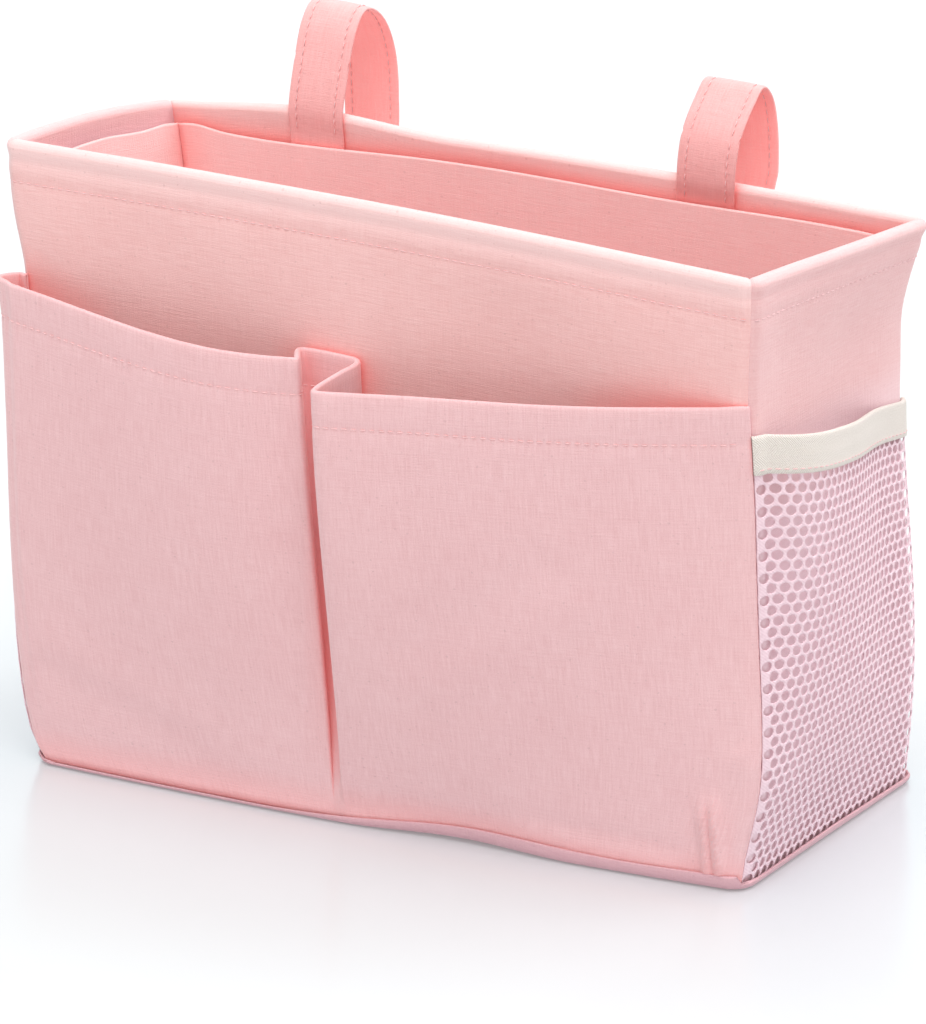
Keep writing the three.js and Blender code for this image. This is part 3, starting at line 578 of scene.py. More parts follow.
# The four sides of the bag
SIDES = {
    "front": {"along": (1, 0), "out": (0, -1), "run": WIDTH, "face": DEPTH / 2},
    "right": {"along": (0, 1), "out": (1, 0), "run": DEPTH, "face": WIDTH / 2},
    "back": {"along": (-1, 0), "out": (0, 1), "run": WIDTH, "face": DEPTH / 2},
    "left": {"along": (0, -1), "out": (-1, 0), "run": DEPTH, "face": WIDTH / 2},
}


def on_side(side, along, out, z):
    along, out, z = np.broadcast_arrays(along, out, z)
    return np.stack([side["along"][k] * along + side["out"][k] * out for k in (0, 1)] + [z], axis=-1)


def corner_point(side, s, straight, run_radius, radius, out, z, furthest=math.pi / 4):
    """Place at s from the side's middle, which turns off after a straight run. s is measured on
    run_radius and the place lies on radius, about a corner centre that is out from the middle."""
    turn = np.clip((np.abs(s) - straight) / run_radius, 0, furthest)
    along = np.sign(s) * (np.minimum(np.abs(s), straight) + radius * np.sin(turn))
    return on_side(side, along, out + radius * np.cos(turn), z)


def round_point(side, s, inset, z):
    """Place at s millimetres from the side's middle, round its corners, inset and up."""
    return corner_point(side, s, side["run"] / 2 - CORNER_RADIUS, CORNER_RADIUS, CORNER_RADIUS - inset,
                        side["face"] - CORNER_RADIUS, z)


# Soft unevenness of each side: height in mm, waves along and up, and phase
WAVES = {
    "front": [(0.7, 1.1, 0.6, 0.4), (0.45, 2.3, 1.2, 2.1), (0.3, 3.7, -0.8, 4.0)],
    "right": [(0.8, 0.9, 0.8, 1.0), (0.5, 1.7, -1.3, 3.3)],
    "back": [(0.8, 1.3, 0.7, 2.7), (0.5, 2.6, -1.1, 0.6), (0.3, 4.1, 0.9, 1.9)],
    "left": [(0.8, 1.0, -0.7, 5.0), (0.5, 1.9, 1.2, 1.4)],
}


def ripple(name, s, z):
    """How far the wall's cloth stands out of its plane; every ply has the same. It is flat where a
    patch is sewn on."""
    side = SIDES[name]
    share_s, share_z = s / side["run"], z / HEIGHT
    total = sum(high * np.sin(2 * np.pi * (along * share_s + up * share_z) + phase)
                for high, along, up, phase in WAVES[name])
    total = total * within(s, side["run"] / 2, 25) * ease(z / 50) * (1 - 0.75 * ease((z - 190) / 25))
    if name == "back":
        for band in STRAPS.values():
            total = total * (1 - within(s + band["centre"], 26, 12) * within(z - PATCH_MIDDLE, 34, 14))
    return total


def wall_line(profile, name, s):
    """Grid of a ply that follows a profile of (inset, level) along one side."""
    side = SIDES[name]
    s, inset = np.meshgrid(s, profile[:, 0], indexing="ij")
    z = np.broadcast_to(profile[:, 1], s.shape)
    return settle(round_point(side, s, inset - ripple(name, s, z), z))


def side_run(name, step=CELL, gap=SEAM_GAP):
    """Places along a side, seam to seam, with its rounded corners."""
    side = SIDES[name]
    half = side["run"] / 2 - CORNER_RADIUS + CORNER_RADIUS * math.pi / 4 - gap
    return np.linspace(-half, half, int(2 * half / step) + 1)


def levels(low, high, step, rows=(), close=0.8):
    """Levels between two heights, closer together at the stitch rows."""
    found = list(np.linspace(low, high, int(abs(high - low) / step) + 2))
    for row in rows:
        found = [z for z in found if abs(z - row) > 2.75 * close or z in (low, high)]
        found += [row + k * close for k in (-2, -1, 0, 1, 2)]
    return np.array(sorted(found, reverse=high < low))


def upright(inset, z):
    """Straight part of a profile."""
    return np.stack([np.full(len(z), inset), z], axis=1)


def arc_profile(centre, radius, steps):
    """Half circle over a centre, from its low inset to its high one."""
    turn = np.linspace(math.pi, 0, steps + 1)
    return np.stack([centre[0] + radius * np.cos(turn), centre[1] + radius * np.sin(turn)], axis=1)


def stitch_dent(s, z, row, deep=0.3, reach=1.6):
    """Puckered groove along a row of stitches."""
    return -deep * bell(z, row, reach) * (0.7 + 0.3 * np.cos(2 * np.pi * s / STITCH_PITCH))


def wall(name):
    """Wall of the shell, up the outside, over the wire and down inside as a facing."""
    middle = CANVAS / 2
    rise = levels(WALL_FOOT, ROLL_CENTRE, 4.0, (HEM_STITCH, PINCH_LEVEL))[:-1]
    fall = levels(ROLL_CENTRE, HEIGHT - FACING_DEPTH, 3.5, (HEM_STITCH,))[1:]
    profile = np.vstack([
        upright(middle, rise),
        arc_profile((ROLL_RADIUS, ROLL_CENTRE), ROLL_RADIUS - middle, 10),
        upright(FACING_INSET + middle, fall),
    ])
    s = side_run(name)
    s_all, z_all = np.meshgrid(s, profile[:, 1], indexing="ij")
    seam = -0.5 * bell(np.abs(s_all), s[-1], 1.3)
    outside = np.arange(len(profile)) < len(rise)
    pinch = -0.3 * bell(z_all, PINCH_LEVEL, 1.7) * outside
    bead = 0.45 * ease((z_all - ROLL_CENTRE + WIRE_DIAMETER) / WIRE_DIAMETER)
    material, node = (SHELL, f"{name}_panel") if name in ("front", "back") else (NET_BACKING, f"{name}_side_panel")
    cloth(f"{name}_wall_cloth", wall_line(profile, name, s), CANVAS, material, "bag", [node], "canvas",
          "stretched", ["rim_wire"], (37.0 * len(name), 0.0),
          outer=stitch_dent(s_all, z_all, HEM_STITCH) + seam + pinch + bead)


def stiffening(name):
    profile = upright(STIFFENER_INSET + STIFFENER / 2, levels(WALL_FOOT, ROLL_CENTRE - ROLL_RADIUS, 8.0))
    cloth(f"{name}_felt", wall_line(profile, name, side_run(name, 6.0, 0.4)), STIFFENER, FELT,
          "bag", [f"{name}_stiffener"], "stiffening", "stretched", ["rim_wire"])


LINING_ROWS = (LINING_TOP - 1.5, LINING_TOP - 8.6)
seam_rows = {"lining_hem": [], "tape": []}


def row_of(grid, j, thickness):
    """Row of a cloth's grid as a line on its outer face, with the ways off the cloth."""
    normal = grid_normals(grid)[:, j]
    return grid[:, j] + normal * thickness * 0.3, normal


def lining_fall(name, s, z):
    """How far the loose lining leans into the bag, most at its folded edge."""
    run, loose_from = SIDES[name]["run"], 150
    share = s / run
    height = ease((z - loose_from) / (LINING_TOP - loose_from))
    wave = 0.8 + 0.5 * np.sin(2 * np.pi * 1.6 * share + 1.1) + 0.3 * np.sin(2 * np.pi * 3.1 * share)
    belly = 0.9 * np.sin(np.pi * np.clip(z / loose_from, 0, 1)) * np.sin(2.2 * np.pi * share + 0.5) ** 2
    return within(s, run / 2 - 8, 18) * (height * wave + belly)


def lining_lift(name, s):
    """How far the folded edge rises or sinks along a side."""
    run = SIDES[name]["run"]
    wave = 0.6 * np.sin(2 * np.pi * 2.1 * s / run + 0.7)
    if name == "back":
        u = -2 * s / run
        wave = wave - 4.2 * bump(u, STRAP_LIFT_PLACE, STRAP_LIFT_REACH) + 1.6 * bump(u, -0.93, 0.13)
    return within(s, run / 2 - 8, 14) * wave


def lining_wall(name):
    """Lining wall, its top edge turned under to a soft double edge."""
    side = SIDES[name]
    ply_gap = 0.42
    front_inset, fold_level = LINING_INSET + 1.5 * LINING_CLOTH, LINING_TOP - LINING_CLOTH
    rise = levels(LINING_FOOT, fold_level, 4.0, LINING_ROWS)
    under = levels(fold_level, LINING_TOP - LINING_HEM, 3.0)
    profile = np.vstack([
        upright(front_inset - 2 * ply_gap, under)[::-1],
        arc_profile((front_inset - ply_gap, fold_level), ply_gap, 6)[1:-1],
        upright(front_inset, rise)[::-1],
    ])
    folded = len(under) + 3
    half = side["run"] / 2 - LINING_INSET - LINING_CLOTH
    s = np.linspace(half, -half, int(half / CELL) + 1)
    s_all, inset = np.meshgrid(s, profile[:, 0], indexing="ij")
    z_all = np.broadcast_to(profile[:, 1], s_all.shape)
    lean = lining_fall(name, s_all, z_all)
    top = ease((z_all - (LINING_TOP - 25)) / 25)
    along = s_all - np.sign(s_all) * np.maximum(np.abs(s_all) - (side["run"] / 2 - inset - lean - 0.5), 0)
    flat = on_side(side, along, side["face"] - inset - lean, z_all + top * lining_lift(name, s_all))
    dent = sum(stitch_dent(s_all, z_all, row, 0.22) for row in LINING_ROWS)
    placed = settle(flat)
    for row in LINING_ROWS:
        nearest = folded + int(np.argmin(np.abs(profile[folded:, 1] - row)))
        seam_rows["lining_hem"].append(row_of(placed, nearest, LINING_CLOTH))
    cloth(f"lining_{name}_cloth", placed, LINING_CLOTH, LINING, "bag", [f"lining_{name}"], "lining", "hung",
          ["bottom_panel"], (23.0 * len(name), 11.0), outer=dent * (np.arange(len(profile)) > folded))


def lining_floor():
    x = np.linspace(-1, 1, 61) * (WIDTH / 2 - LINING_INSET - 0.5)
    y = np.linspace(-1, 1, 25) * (DEPTH / 2 - LINING_INSET - 0.5)
    x, y = np.meshgrid(x, y, indexing="ij")
    soft = 0.5 * np.sin(x / 31 + 1.0) * np.sin(y / 17) ** 2 * np.cos(x / 13)
    edge = within(x, WIDTH / 2 - 6, 12) * within(y, DEPTH / 2 - 6, 12)
    z = LINING_FLOOR + LINING_CLOTH / 2 + 0.4 + edge * (0.5 + soft)
    cloth("lining_floor_cloth", settle(np.stack([x, y, z], axis=-1)), LINING_CLOTH, LINING, "bag",
          ["lining_bottom"], "lining", "laid", ["base_board"], (5.0, 71.0))


def tray_point(name, f, inset, z):
    """Place on a ring of the bottom cloth: f runs from -1 to 1 along one side."""
    side = SIDES[name]
    radius = max(CORNER_RADIUS - inset, 0.02)
    straight = side["run"] / 2 - inset - radius
    return corner_point(side, f * (straight + radius * math.pi / 4), straight, radius, radius,
                        side["face"] - inset - radius, z)


def lip_height(name, f):
    """How far the bottom cloth's edge stands up: low at the front left, high at the front right."""
    if name == "front":
        return lerp(1.3, 5.2, ease((f + 0.35) / 0.75)) - 0.6 * bump(f, 0.7, 0.25)
    return lerp(2.6, {"left": 1.6, "right": 3.2, "back": 3.0}[name], ease(1 - np.abs(f)))


def bottom_cloth():
    """Bottom cloth, its edge turned up round the foot of the bag."""
    proud = 2 * CLEARANCE + 1.5 * CANVAS
    bend, lip_top, furthest = 1.6, TUCKED_HEIGHT - 0.3, 49.0
    lip = [(-proud, z) for z in (lip_top, 2.5, 2.3, CANVAS / 2 + bend)]
    corner = [(bend * (1 - math.cos(t)) - proud, CANVAS / 2 + bend * (1 - math.sin(t)))
              for t in np.linspace(0, math.pi / 2, 5)[1:]]
    inward = [(inset, CANVAS / 2) for inset in (1.5, 4.0, 8.0, 14.0, 22.0, 31.0, 40.0, furthest)]
    rings = [*lip, *corner, *inward]
    n, m = 150, 60
    more = min(n, m) // 2 - len(rings)
    rings += [(furthest + 10.6 * (k + 1) / more, CANVAS / 2) for k in range(more)]
    grid = np.zeros((n, m, 3))
    for k, (inset, z) in enumerate(rings):
        i, j = np.arange(k, n - k), np.arange(k, m - k)
        fi, fj = np.linspace(-1, 1, len(i)), np.linspace(-1, 1, len(j))
        grid[i, k] = tray_point("front", fi, inset, z)
        grid[i, m - 1 - k] = tray_point("back", -fi, inset, z)
        grid[k, j] = tray_point("left", -fj, inset, z)
        grid[n - 1 - k, j] = tray_point("right", fj, inset, z)
    size = np.array([WIDTH, DEPTH]) / 2
    away = np.abs(grid[..., :2]) / size
    side_on = np.where(away[..., 0] > away[..., 1], 1, 0)
    f = np.where(side_on, grid[..., 1] / size[1], grid[..., 0] / size[0])
    front, end = grid[..., 1] < 0, np.where(grid[..., 0] < 0, lip_height("left", f), lip_height("right", f))
    height = np.where(side_on, end, np.where(front, lip_height("front", f), lip_height("back", f)))
    rise = (grid[..., 2] - CANVAS / 2) / (lip_top - CANVAS / 2)
    grid[..., 2] = CANVAS / 2 + rise * (height - CANVAS / 2)
    uv = grid[..., :2] + 200.0 + rise[..., None] * 4 * np.sign(grid[..., :2]) * (away > 1.0)
    piece = mesh_piece("bottom_cloth", *cloth_mesh(settle(grid), CANVAS, uv), BOTTOM)
    carry(piece, "bag", ["bottom_panel"])


# Mouth of the front pockets, from seam to seam: place along the width, stand-off and
# drop as shares, the place along the foot, and how far the cloth leans over in between
POCKET_SHARES = [
    (-0.486, 0, 0, -0.486, 0), (-0.496, 0.02, 0.01, -0.489, 0.001), (-0.5045, 0.09, 0.02, -0.488, 0.006),
    (-0.5125, 0.19, 0.04, -0.486, 0.011),
    (-0.5155, 0.29, 0.07, -0.48, 0.015), (-0.506, 0.38, 0.1, -0.473, 0.0145), (-0.47, 0.45, 0.16, -0.455, 0.011),
    (-0.42, 0.53, 0.25, -0.415, 0.007), (-0.34, 0.64, 0.41, -0.33, 0.003), (-0.26, 0.72, 0.57, -0.25, 0.001),
    (-0.19, 0.71, 0.7, -0.17, 0.003), (-0.14, 0.62, 0.75, -0.113, 0.007), (-0.1, 0.51, 0.75, -0.072, 0.012),
    (-0.0735, 0.44, 0.72, -0.056, 0.015), (-0.069, 0.42, 0.715, -0.054, 0.015),
    (-0.0695, 0.39, 0.71, -0.0535, 0.015), (-0.084, 0.1, 0.64, -0.053, 0.014),
    (-0.081, 0.07, 0.64, -0.052, 0.014), (-0.042, 0.05, 0.64, -0.049, 0.012),
    (-0.0085, 0.07, 0.68, -0.046, 0.011), (-0.0065, 0.13, 0.73, -0.045, 0.011),
    (-0.0105, 0.45, 0.86, -0.042, 0.011), (-0.0165, 0.88, 1.08, -0.038, 0.011),
    (-0.0145, 0.97, 1.12, -0.037, 0.011), (-0.008, 1, 1.12, -0.031, 0.011),
    (0.03, 0.94, 1.06, 0.03, 0.007), (0.1, 0.8, 0.93, 0.1, 0.002), (0.18, 0.68, 0.78, 0.18, 0),
    (0.26, 0.55, 0.62, 0.26, 0), (0.34, 0.41, 0.4, 0.34, 0), (0.42, 0.22, 0.14, 0.42, 0),
    (0.465, 0.07, 0, 0.465, 0), (0.482, 0.02, -0.08, 0.482, 0), (0.49, 0, -0.1, 0.49, 0),
    (0.496, 0, -0.1, 0.496, 0),
]
POCKET_CREASES = [
    ((60, 12), (128, 9), 3.0, 0.7), ((-60, 20), (-140, 44), 9.0, 0.5), ((20, 60), (90, 110), 12.0, 0.5),
]
POCKET_DARTS = [((131, 37), (140.5, 2), 2.3, 2.9), ((137, 42), (150, 53), 2.6, 1.1)]
POCKET_FIRST_SHARE = 0.035
POCKET_STITCH_SHARE = 1 - (POCKET_HEM - 1.0) / POCKET_HEIGHT


def over_face(x, apart):
    """How far forward a ply lies that follows the shell, as far as the corner seams."""
    radius = CORNER_RADIUS + apart
    past = np.maximum(np.abs(x) - (WIDTH / 2 - CORNER_RADIUS), 0)
    return DEPTH / 2 - CORNER_RADIUS + np.sqrt(radius ** 2 - np.minimum(past, radius * math.sqrt(0.5)) ** 2)


def pocket_columns(step):
    """The mouth's table on even steps of cloth, as columns of shares."""
    fine = curve_through([(a * WIDTH, o * POCKET_BULGE, d * POCKET_SAG, f * WIDTH, b * WIDTH)
                          for a, o, d, f, b in POCKET_SHARES], 1200)
    length = line_length(fine[:, :2])
    places = np.linspace(0, length[-1], int(length[-1] / step) + 1)
    return along_line(fine, length, places), places


def pocket_surface(columns, share, off):
    """Point of the pocket's cloth at a share of its height, off inwards in mm."""
    at, out, drop, foot, lean = columns.T
    above = max(share - POCKET_FIRST_SHARE, 0) / (1 - POCKET_FIRST_SHARE)
    swell = math.sin(math.pi / 2 * min(above, 1))
    foot_out = over_face(foot, CLEARANCE + CANVAS / 2)
    mouth_out = over_face(at, CLEARANCE + 0.8 * CANVAS) + np.maximum(out, 0)
    x, y = lerp(foot, at, swell) + lean * math.sin(math.pi * share), -lerp(foot_out, mouth_out, swell)
    z = lerp(WALL_FOOT, POCKET_HEIGHT - drop, share)
    way = unit(np.stack([np.gradient(x), np.gradient(y)], axis=1))
    return np.stack([x - way[:, 1] * off, y + way[:, 0] * off, z], axis=1)


def fold_place(grid, start, end, wide, fade_in, fade_out):
    """Place across a fold from start to end, as a share of its width, and its share of full height."""
    x, z = grid[..., 0] - start[0], grid[..., 2] - start[1]
    way = np.subtract(end, start)
    length = math.hypot(*way)
    along = (x * way[0] + z * way[1]) / length
    return (x * way[1] - z * way[0]) / length / wide, ease(along / fade_in) * ease((length - along) / fade_out)


def crease(grid, start, end, wide, deep):
    """Fold pressed in between two places: a ridge on one side and a groove on the other."""
    off, share = fold_place(grid, start, end, wide, 8, 8)
    return deep * off * np.exp(0.5 - off ** 2) * share


def dart(grid, start, end, wide, high):
    """Fold that stands up between two places as two ridges with a valley in between."""
    off, share = fold_place(grid, start, end, wide, 12, 6)
    return high * (0.75 * np.exp(-2 * (off - 1) ** 2) + np.exp(-2 * (off + 1) ** 2)) * share


def pocket_cloth():
    columns, places = pocket_columns(1.15)
    fold = 0.62
    fold_share = fold / POCKET_HEIGHT
    shares = levels(0, 1 - fold_share, 2.9 / POCKET_HEIGHT, (POCKET_STITCH_SHARE,), 0.8 / POCKET_HEIGHT)
    rows = [(share, 0.0) for share in shares]
    rows += [(1 - fold_share + fold_share * math.sin(t), fold * (1 - math.cos(t)))
             for t in np.linspace(0, math.pi, 7)[1:]]
    rows += [(share, 2 * fold) for share in np.linspace(1 - fold_share, 1 - POCKET_HEM / POCKET_HEIGHT, 5)[1:]]
    grid = np.stack([pocket_surface(columns, share, off) for share, off in rows], axis=1)
    levels_all = np.array([share for share, _ in rows]) * POCKET_HEIGHT
    dent = stitch_dent(places[:, None], levels_all, POCKET_STITCH_SHARE * POCKET_HEIGHT)
    dent = dent + sum(crease(grid, *fold_line) for fold_line in POCKET_CREASES)
    grid[..., 1] -= sum(dart(grid, *fold_line) for fold_line in POCKET_DARTS)
    cloth("front_pocket_cloth", settle(grid), CANVAS, POCKET, "bag", ["front_pocket"], "canvas", "gathered",
          ["front_panel"], (0.0, 130.0), outer=dent * (np.arange(len(rows)) < len(shares)))


# Net pockets
NET_COLUMNS = 25
NET_ROWS = 41
NET_HOLE_SHARE = 0.82
NET_WAVE = 1.1
NET_PLY = 0.32
TAPE_CLOTH = 0.55
SEAM_TURN = 0.243 * math.pi


def net_surface(name, q, w, off):
    """Place on a net pocket: q from -1 to 1 seam to seam, w from foot to mouth."""
    side = SIDES[name]
    straight = side["run"] / 2 - CORNER_RADIUS
    s = q * (straight + CORNER_RADIUS * SEAM_TURN)
    v = np.clip(s / straight, -1, 1)
    back = v * side["along"][1]
    mouth = lerp(NET_FRONT_HEIGHT, NET_REAR_HEIGHT, (1 + back) / 2)
    stand_off = lerp(1.5 * CLEARANCE, CLEARANCE + TAPE_CLOTH, np.minimum(2 * w, 1)) + NET_THREAD / 2
    wave = NET_WAVE * np.cos(2 * np.pi * back) * ease((w - 0.3) / 0.5) * ease(1.2 - w)
    swell = NET_BULGE * (1 - NET_SLACK_SHARE * back) * ease(w / 0.85) - wave
    swell = swell * (1 - v ** 4) * (1 - 0.9 * ease((back + 0.1) / 0.9))
    return corner_point(side, s, straight, CORNER_RADIUS, CORNER_RADIUS + stand_off + off,
                        side["face"] - CORNER_RADIUS + swell, lerp(WALL_FOOT, mouth, w), SEAM_TURN)


def knitted_net(name):
    """Net of threads round six-sided gaps, every other row moved by half a gap."""
    lines = 2 * NET_COLUMNS
    index, flat, faces = {}, [], []

    def point(key, place):
        if key not in index:
            index[key] = len(flat)
            flat.append(place)
        return index[key]

    def corners(*places):
        """Half columns and rows, each with its place; the rows inside the net zigzag."""
        zigzag = [0 if row in (0, NET_ROWS) else (-1 if (half + row) % 2 else 1) / 6 for half, row in places]
        return [(key, np.array([key[0], (key[1] + z) / NET_ROWS])) for key, z in zip(places, zigzag)]

    for row in range(NET_ROWS):
        first, above = row % 2, row + 1
        for half in range(first, lines - first - 1, 2):
            around = corners((half, row), (half + 1, row), (half + 2, row),
                             (half + 2, above), (half + 1, above), (half, above))
            centre = sum(place for _, place in around) / 6
            outer = [point(*corner) for corner in around]
            inner = [point(("hole", half, row, k), lerp(centre, place, NET_HOLE_SHARE))
                     for k, (_, place) in enumerate(around)]
            faces += [(outer[k - 1], outer[k], inner[k], inner[k - 1]) for k in range(6)]
        for half in (0, lines - 1) if first else ():
            ring = corners((half, row), (half + 1, row), (half + 1, above), (half, above))
            faces.append([point(*corner) for corner in ring])
    edges = {(face[k - 1], face[k]) for face in faces for k in range(4)}
    rims = np.array(sorted((b, a) for a, b in edges if (b, a) not in edges))
    halves, heights = np.array(flat).T
    q, w = 2 * halves / lines - 1, heights * (1 - (TAPE_THICKNESS + CLEARANCE) / NET_FRONT_HEIGHT)
    points = [settle(net_surface(name, q, w, off)) for off in (NET_PLY, -NET_PLY)]
    faces, count = np.array(faces), len(flat)
    sides = np.concatenate([rims, rims[:, ::-1] + count], axis=1)
    uv = np.stack([q * SIDES[name]["run"] / 2, w * NET_FRONT_HEIGHT], axis=1)
    piece = mesh_piece(f"{name}_knitted_net", np.concatenate(points),
                       np.concatenate([faces, faces[:, ::-1] + count, sides]), np.concatenate([uv, uv]), None, NET)
    rounding = piece.modifiers.new("rounding", "SUBSURF")
    rounding.levels = rounding.render_levels = 1
    carry(piece, "bag", [f"{name}_net"])


def net_tape(name):
    """Twill tape folded over the net's mouth."""
    middle, top = NET_THREAD / 2 + 0.05 + TAPE_CLOTH / 2, 0.9
    down = levels(TAPE_HEIGHT, top, 1.6)
    rows = [(middle, d) for d in down]
    rows += [(-middle * math.cos(t), top * (1 - math.sin(t))) for t in np.linspace(math.pi, 0, 7)[1:-1]]
    rows += [(-middle, d) for d in down[::-1]]
    q = np.linspace(-1, 1, 70)
    mouth = net_surface(name, q, np.ones_like(q), 0)[:, 2] - WALL_FOOT
    grid = settle(np.stack([net_surface(name, q, 1 - d / mouth, off) for off, d in rows], axis=1))
    seam_rows["tape"].append(row_of(grid, 1, TAPE_CLOTH))
    cloth(f"{name}_twill_tape", grid, TAPE_CLOTH, TAPE, "bag", [f"{name}_net_tape"], "tape", "folded",
          [f"{name}_knitted_net"], (17.0, 4.0))


# Hanging straps, and half of the span at each strap's root and crown that is given with each length, though nothing
# bends it there
LEAN_BEND = np.array([0.0, 0.0, 6.0])
OPEN_BEND = unit(np.array([0.0, 1.0, -0.25])) * 9.0


def strap_line(rise, crown_out, reach, bow):
    """Middle line of a strap from its tail over the crown to its end, as (y, z)."""
    root_y = DEPTH / 2 - STRAP_INSET - STRAP_THICKNESS / 2
    wall_y = DEPTH / 2 + 3 * CLEARANCE + 2 * PATCH_THICKNESS + STRAP_THICKNESS / 2
    crown_y, rear_y = DEPTH / 2 + crown_out, DEPTH / 2 + reach
    up = [(root_y, LINING_TOP - STRAP_TAIL), (root_y, LINING_TOP), (root_y - 0.5 * bow, HEIGHT),
          (lerp(root_y, crown_y, 0.28) - bow, HEIGHT + 0.46 * rise),
          (lerp(root_y, crown_y, 0.62), HEIGHT + 0.84 * rise)]
    down = [(crown_y, HEIGHT + rise),
            (lerp(crown_y, rear_y, 0.55), HEIGHT + 0.88 * rise),
            (lerp(crown_y, rear_y, 0.92), HEIGHT + 0.55 * rise),
            (rear_y, HEIGHT),
            (lerp(wall_y, rear_y, 0.78), HEIGHT - 0.36 * STRAP_FALL),
            (lerp(wall_y, rear_y, 0.3), HEIGHT - 0.72 * STRAP_FALL),
            (wall_y, HEIGHT - STRAP_FALL),
            (wall_y, HEIGHT - STRAP_FALL - 0.15 * STRAP_GRIP),
            (wall_y, HEIGHT - STRAP_FALL - 0.5 * STRAP_GRIP),
            (wall_y, HEIGHT - STRAP_FALL - STRAP_GRIP)]
    return spread(curve_through([*up, *down], 400), CELL)


def strap(side):
    """One folded and topstitched canvas tube, in two lengths that meet on the leg."""
    centre, rise, crown_out, reach, bow = STRAPS[side].values()
    line = strap_line(rise, crown_out, reach, bow)
    across = np.linspace(-1, 1, 23) * (STRAP_WIDTH / 2 - 0.4)
    placed = settle(np.stack(np.broadcast_arrays(centre + across[:, None], *line.T), axis=-1))
    row = STRAP_WIDTH / 2 - STRAP_ROW
    pillow = 0.25 * (1 - (across / across[-1]) ** 2) ** 0.5 - 0.25
    outer = pillow - 0.28 * bell(np.abs(across), row, 0.8)
    overlap = 0.35 * within(across, 2.2, 0.7)
    outer, inner = (np.broadcast_to(face[:, None], placed.shape[:2]) for face in (outer, outer + overlap))
    middle = grid_normals(placed)
    half, thread_share = STRAP_THICKNESS / 2, 0.62
    ways = np.stack([middle, grid_normals(placed + middle * (half + outer)[..., None]),
                     grid_normals(placed - middle * (half + inner)[..., None])])
    crown = int(np.argmax(line[:, 1]))
    tail, split = (int(np.argmin(np.abs(line[:crown, 1] - z))) for z in (LINING_TOP, HEIGHT + 0.5 * rise))
    root, pivot = (placed[len(across) // 2, k] * MM for k in (tail, crown))
    lower = ("bag", f"{side}_strap", tuple(root - LEAN_BEND * MM), tuple(root + LEAN_BEND * MM))
    upper = (f"{side}_strap", f"{side}_strap_flap", tuple(pivot - OPEN_BEND * MM), tuple(pivot + OPEN_BEND * MM))
    columns = [int(np.argmin(np.abs(across - k))) for k in (-row, row)]
    for name, first, last, sewn, joined, nodes, blend in (
            ("leg", 0, split + 1, slice(tail, None), -1, ["tail", "leg"], lower),
            ("loop", split, len(line), slice(None, -2), 0, ["leg", "flap"], upper)):
        part, normal = placed[:, first:last], middle[:, first:last] * half
        cloth(f"strap_{side}_{name}_cloth", part, STRAP_THICKNESS, STRAPPING, None,
              [f"strap_{side}_{node}" for node in nodes], "canvas", "hung", ["back_panel"],
              (centre + 200, first * CELL), outer[:, first:last], inner[:, first:last], blend, joined,
              ways[:, :, first:last])
        stitches(f"strap_{side}_{name}_stitches", [
            (part[c, sewn] + way * normal[c, sewn] * thread_share, way * normal[c, sewn])
            for c in columns for way in (1, -1)], None, blend)


def patch(side, kind):
    """Hook or loop patch sewn to the strap's end or to the back wall."""
    loop = kind == "loop"
    out = DEPTH / 2 + CLEARANCE + PATCH_THICKNESS / 2 + (0 if loop else PATCH_THICKNESS + CLEARANCE)
    across, up = 39, 57
    x, z = np.meshgrid(np.linspace(1, -1, across) * PATCH_WIDTH / 2 + STRAPS[side]["centre"],
                       np.linspace(-1, 1, up) * PATCH_LENGTH / 2 + PATCH_MIDDLE, indexing="ij")
    pile = 0.12 * np.outer(*(np.cos(np.arange(count) * math.pi) for count in (across, up)))
    cloth(f"{kind}_patch_{side}_cloth", settle(np.stack([x, np.full_like(x, out), z], axis=-1)),
          PATCH_THICKNESS * 0.8, FUZZ if loop else HOOKS, "bag" if loop else f"{side}_strap_flap",
          [f"{kind}_patch_{side}"], "hook_and_loop", "stretched", ["back_panel"],
          **{"outer" if loop else "inner": pile})


# Stitches
def stitches(name, rows, body, blend=None):
    """Short raised threads along rows, each given as (points, outward ways) in mm."""
    place = np.array([0.0, 0.1, 0.35, 0.65, 0.9, 1.0])
    lift = np.array([-0.15, 0.1, 0.2, 0.2, 0.1, -0.15])
    radius = np.array([0.05, 0.8, 1.0, 1.0, 0.8, 0.05]) * STITCH_RADIUS
    points, faces, uvs = [], [], []
    sides = 6
    around = 2 * np.pi * np.arange(sides) / sides
    grid = np.arange(len(place) * sides).reshape(len(place), sides)
    after = np.roll(grid, -1, axis=1)
    quads = np.stack([grid[:-1], grid[1:], after[1:], after[:-1]], axis=-1).reshape(-1, 4)
    ends = [grid[0, [0, 1, 2, 3]], grid[0, [3, 4, 5, 0]], grid[-1, [3, 2, 1, 0]], grid[-1, [0, 5, 4, 3]]]
    for path, ways in rows:
        length = line_length(path)
        count = int(length[-1] // STITCH_PITCH)
        spare = (length[-1] - count * STITCH_PITCH + STITCH_PITCH - STITCH_LENGTH) / 2
        for k in range(count):
            t = spare + k * STITCH_PITCH + place * STITCH_LENGTH
            p, n = along_line(path, length, t), unit(along_line(ways, length, t))
            cross = unit(np.cross(unit(np.gradient(p, axis=0)), n))
            ring = (p + n * lift[:, None])[:, None] + radius[:, None, None] * (
                np.cos(around)[None, :, None] * n[:, None] + np.sin(around)[None, :, None] * cross[:, None])
            faces.append(np.concatenate([quads, ends]) + len(points) * grid.size)
            points.append(ring.reshape(-1, 3))
            uvs.append(np.stack(np.broadcast_arrays(t[:, None] + 13.7 * k, around * STITCH_RADIUS),
                                axis=-1).reshape(-1, 2))
    carry(mesh_piece(name, np.concatenate(points), np.concatenate(faces), np.concatenate(uvs), None, THREAD),
          body, blend=blend)


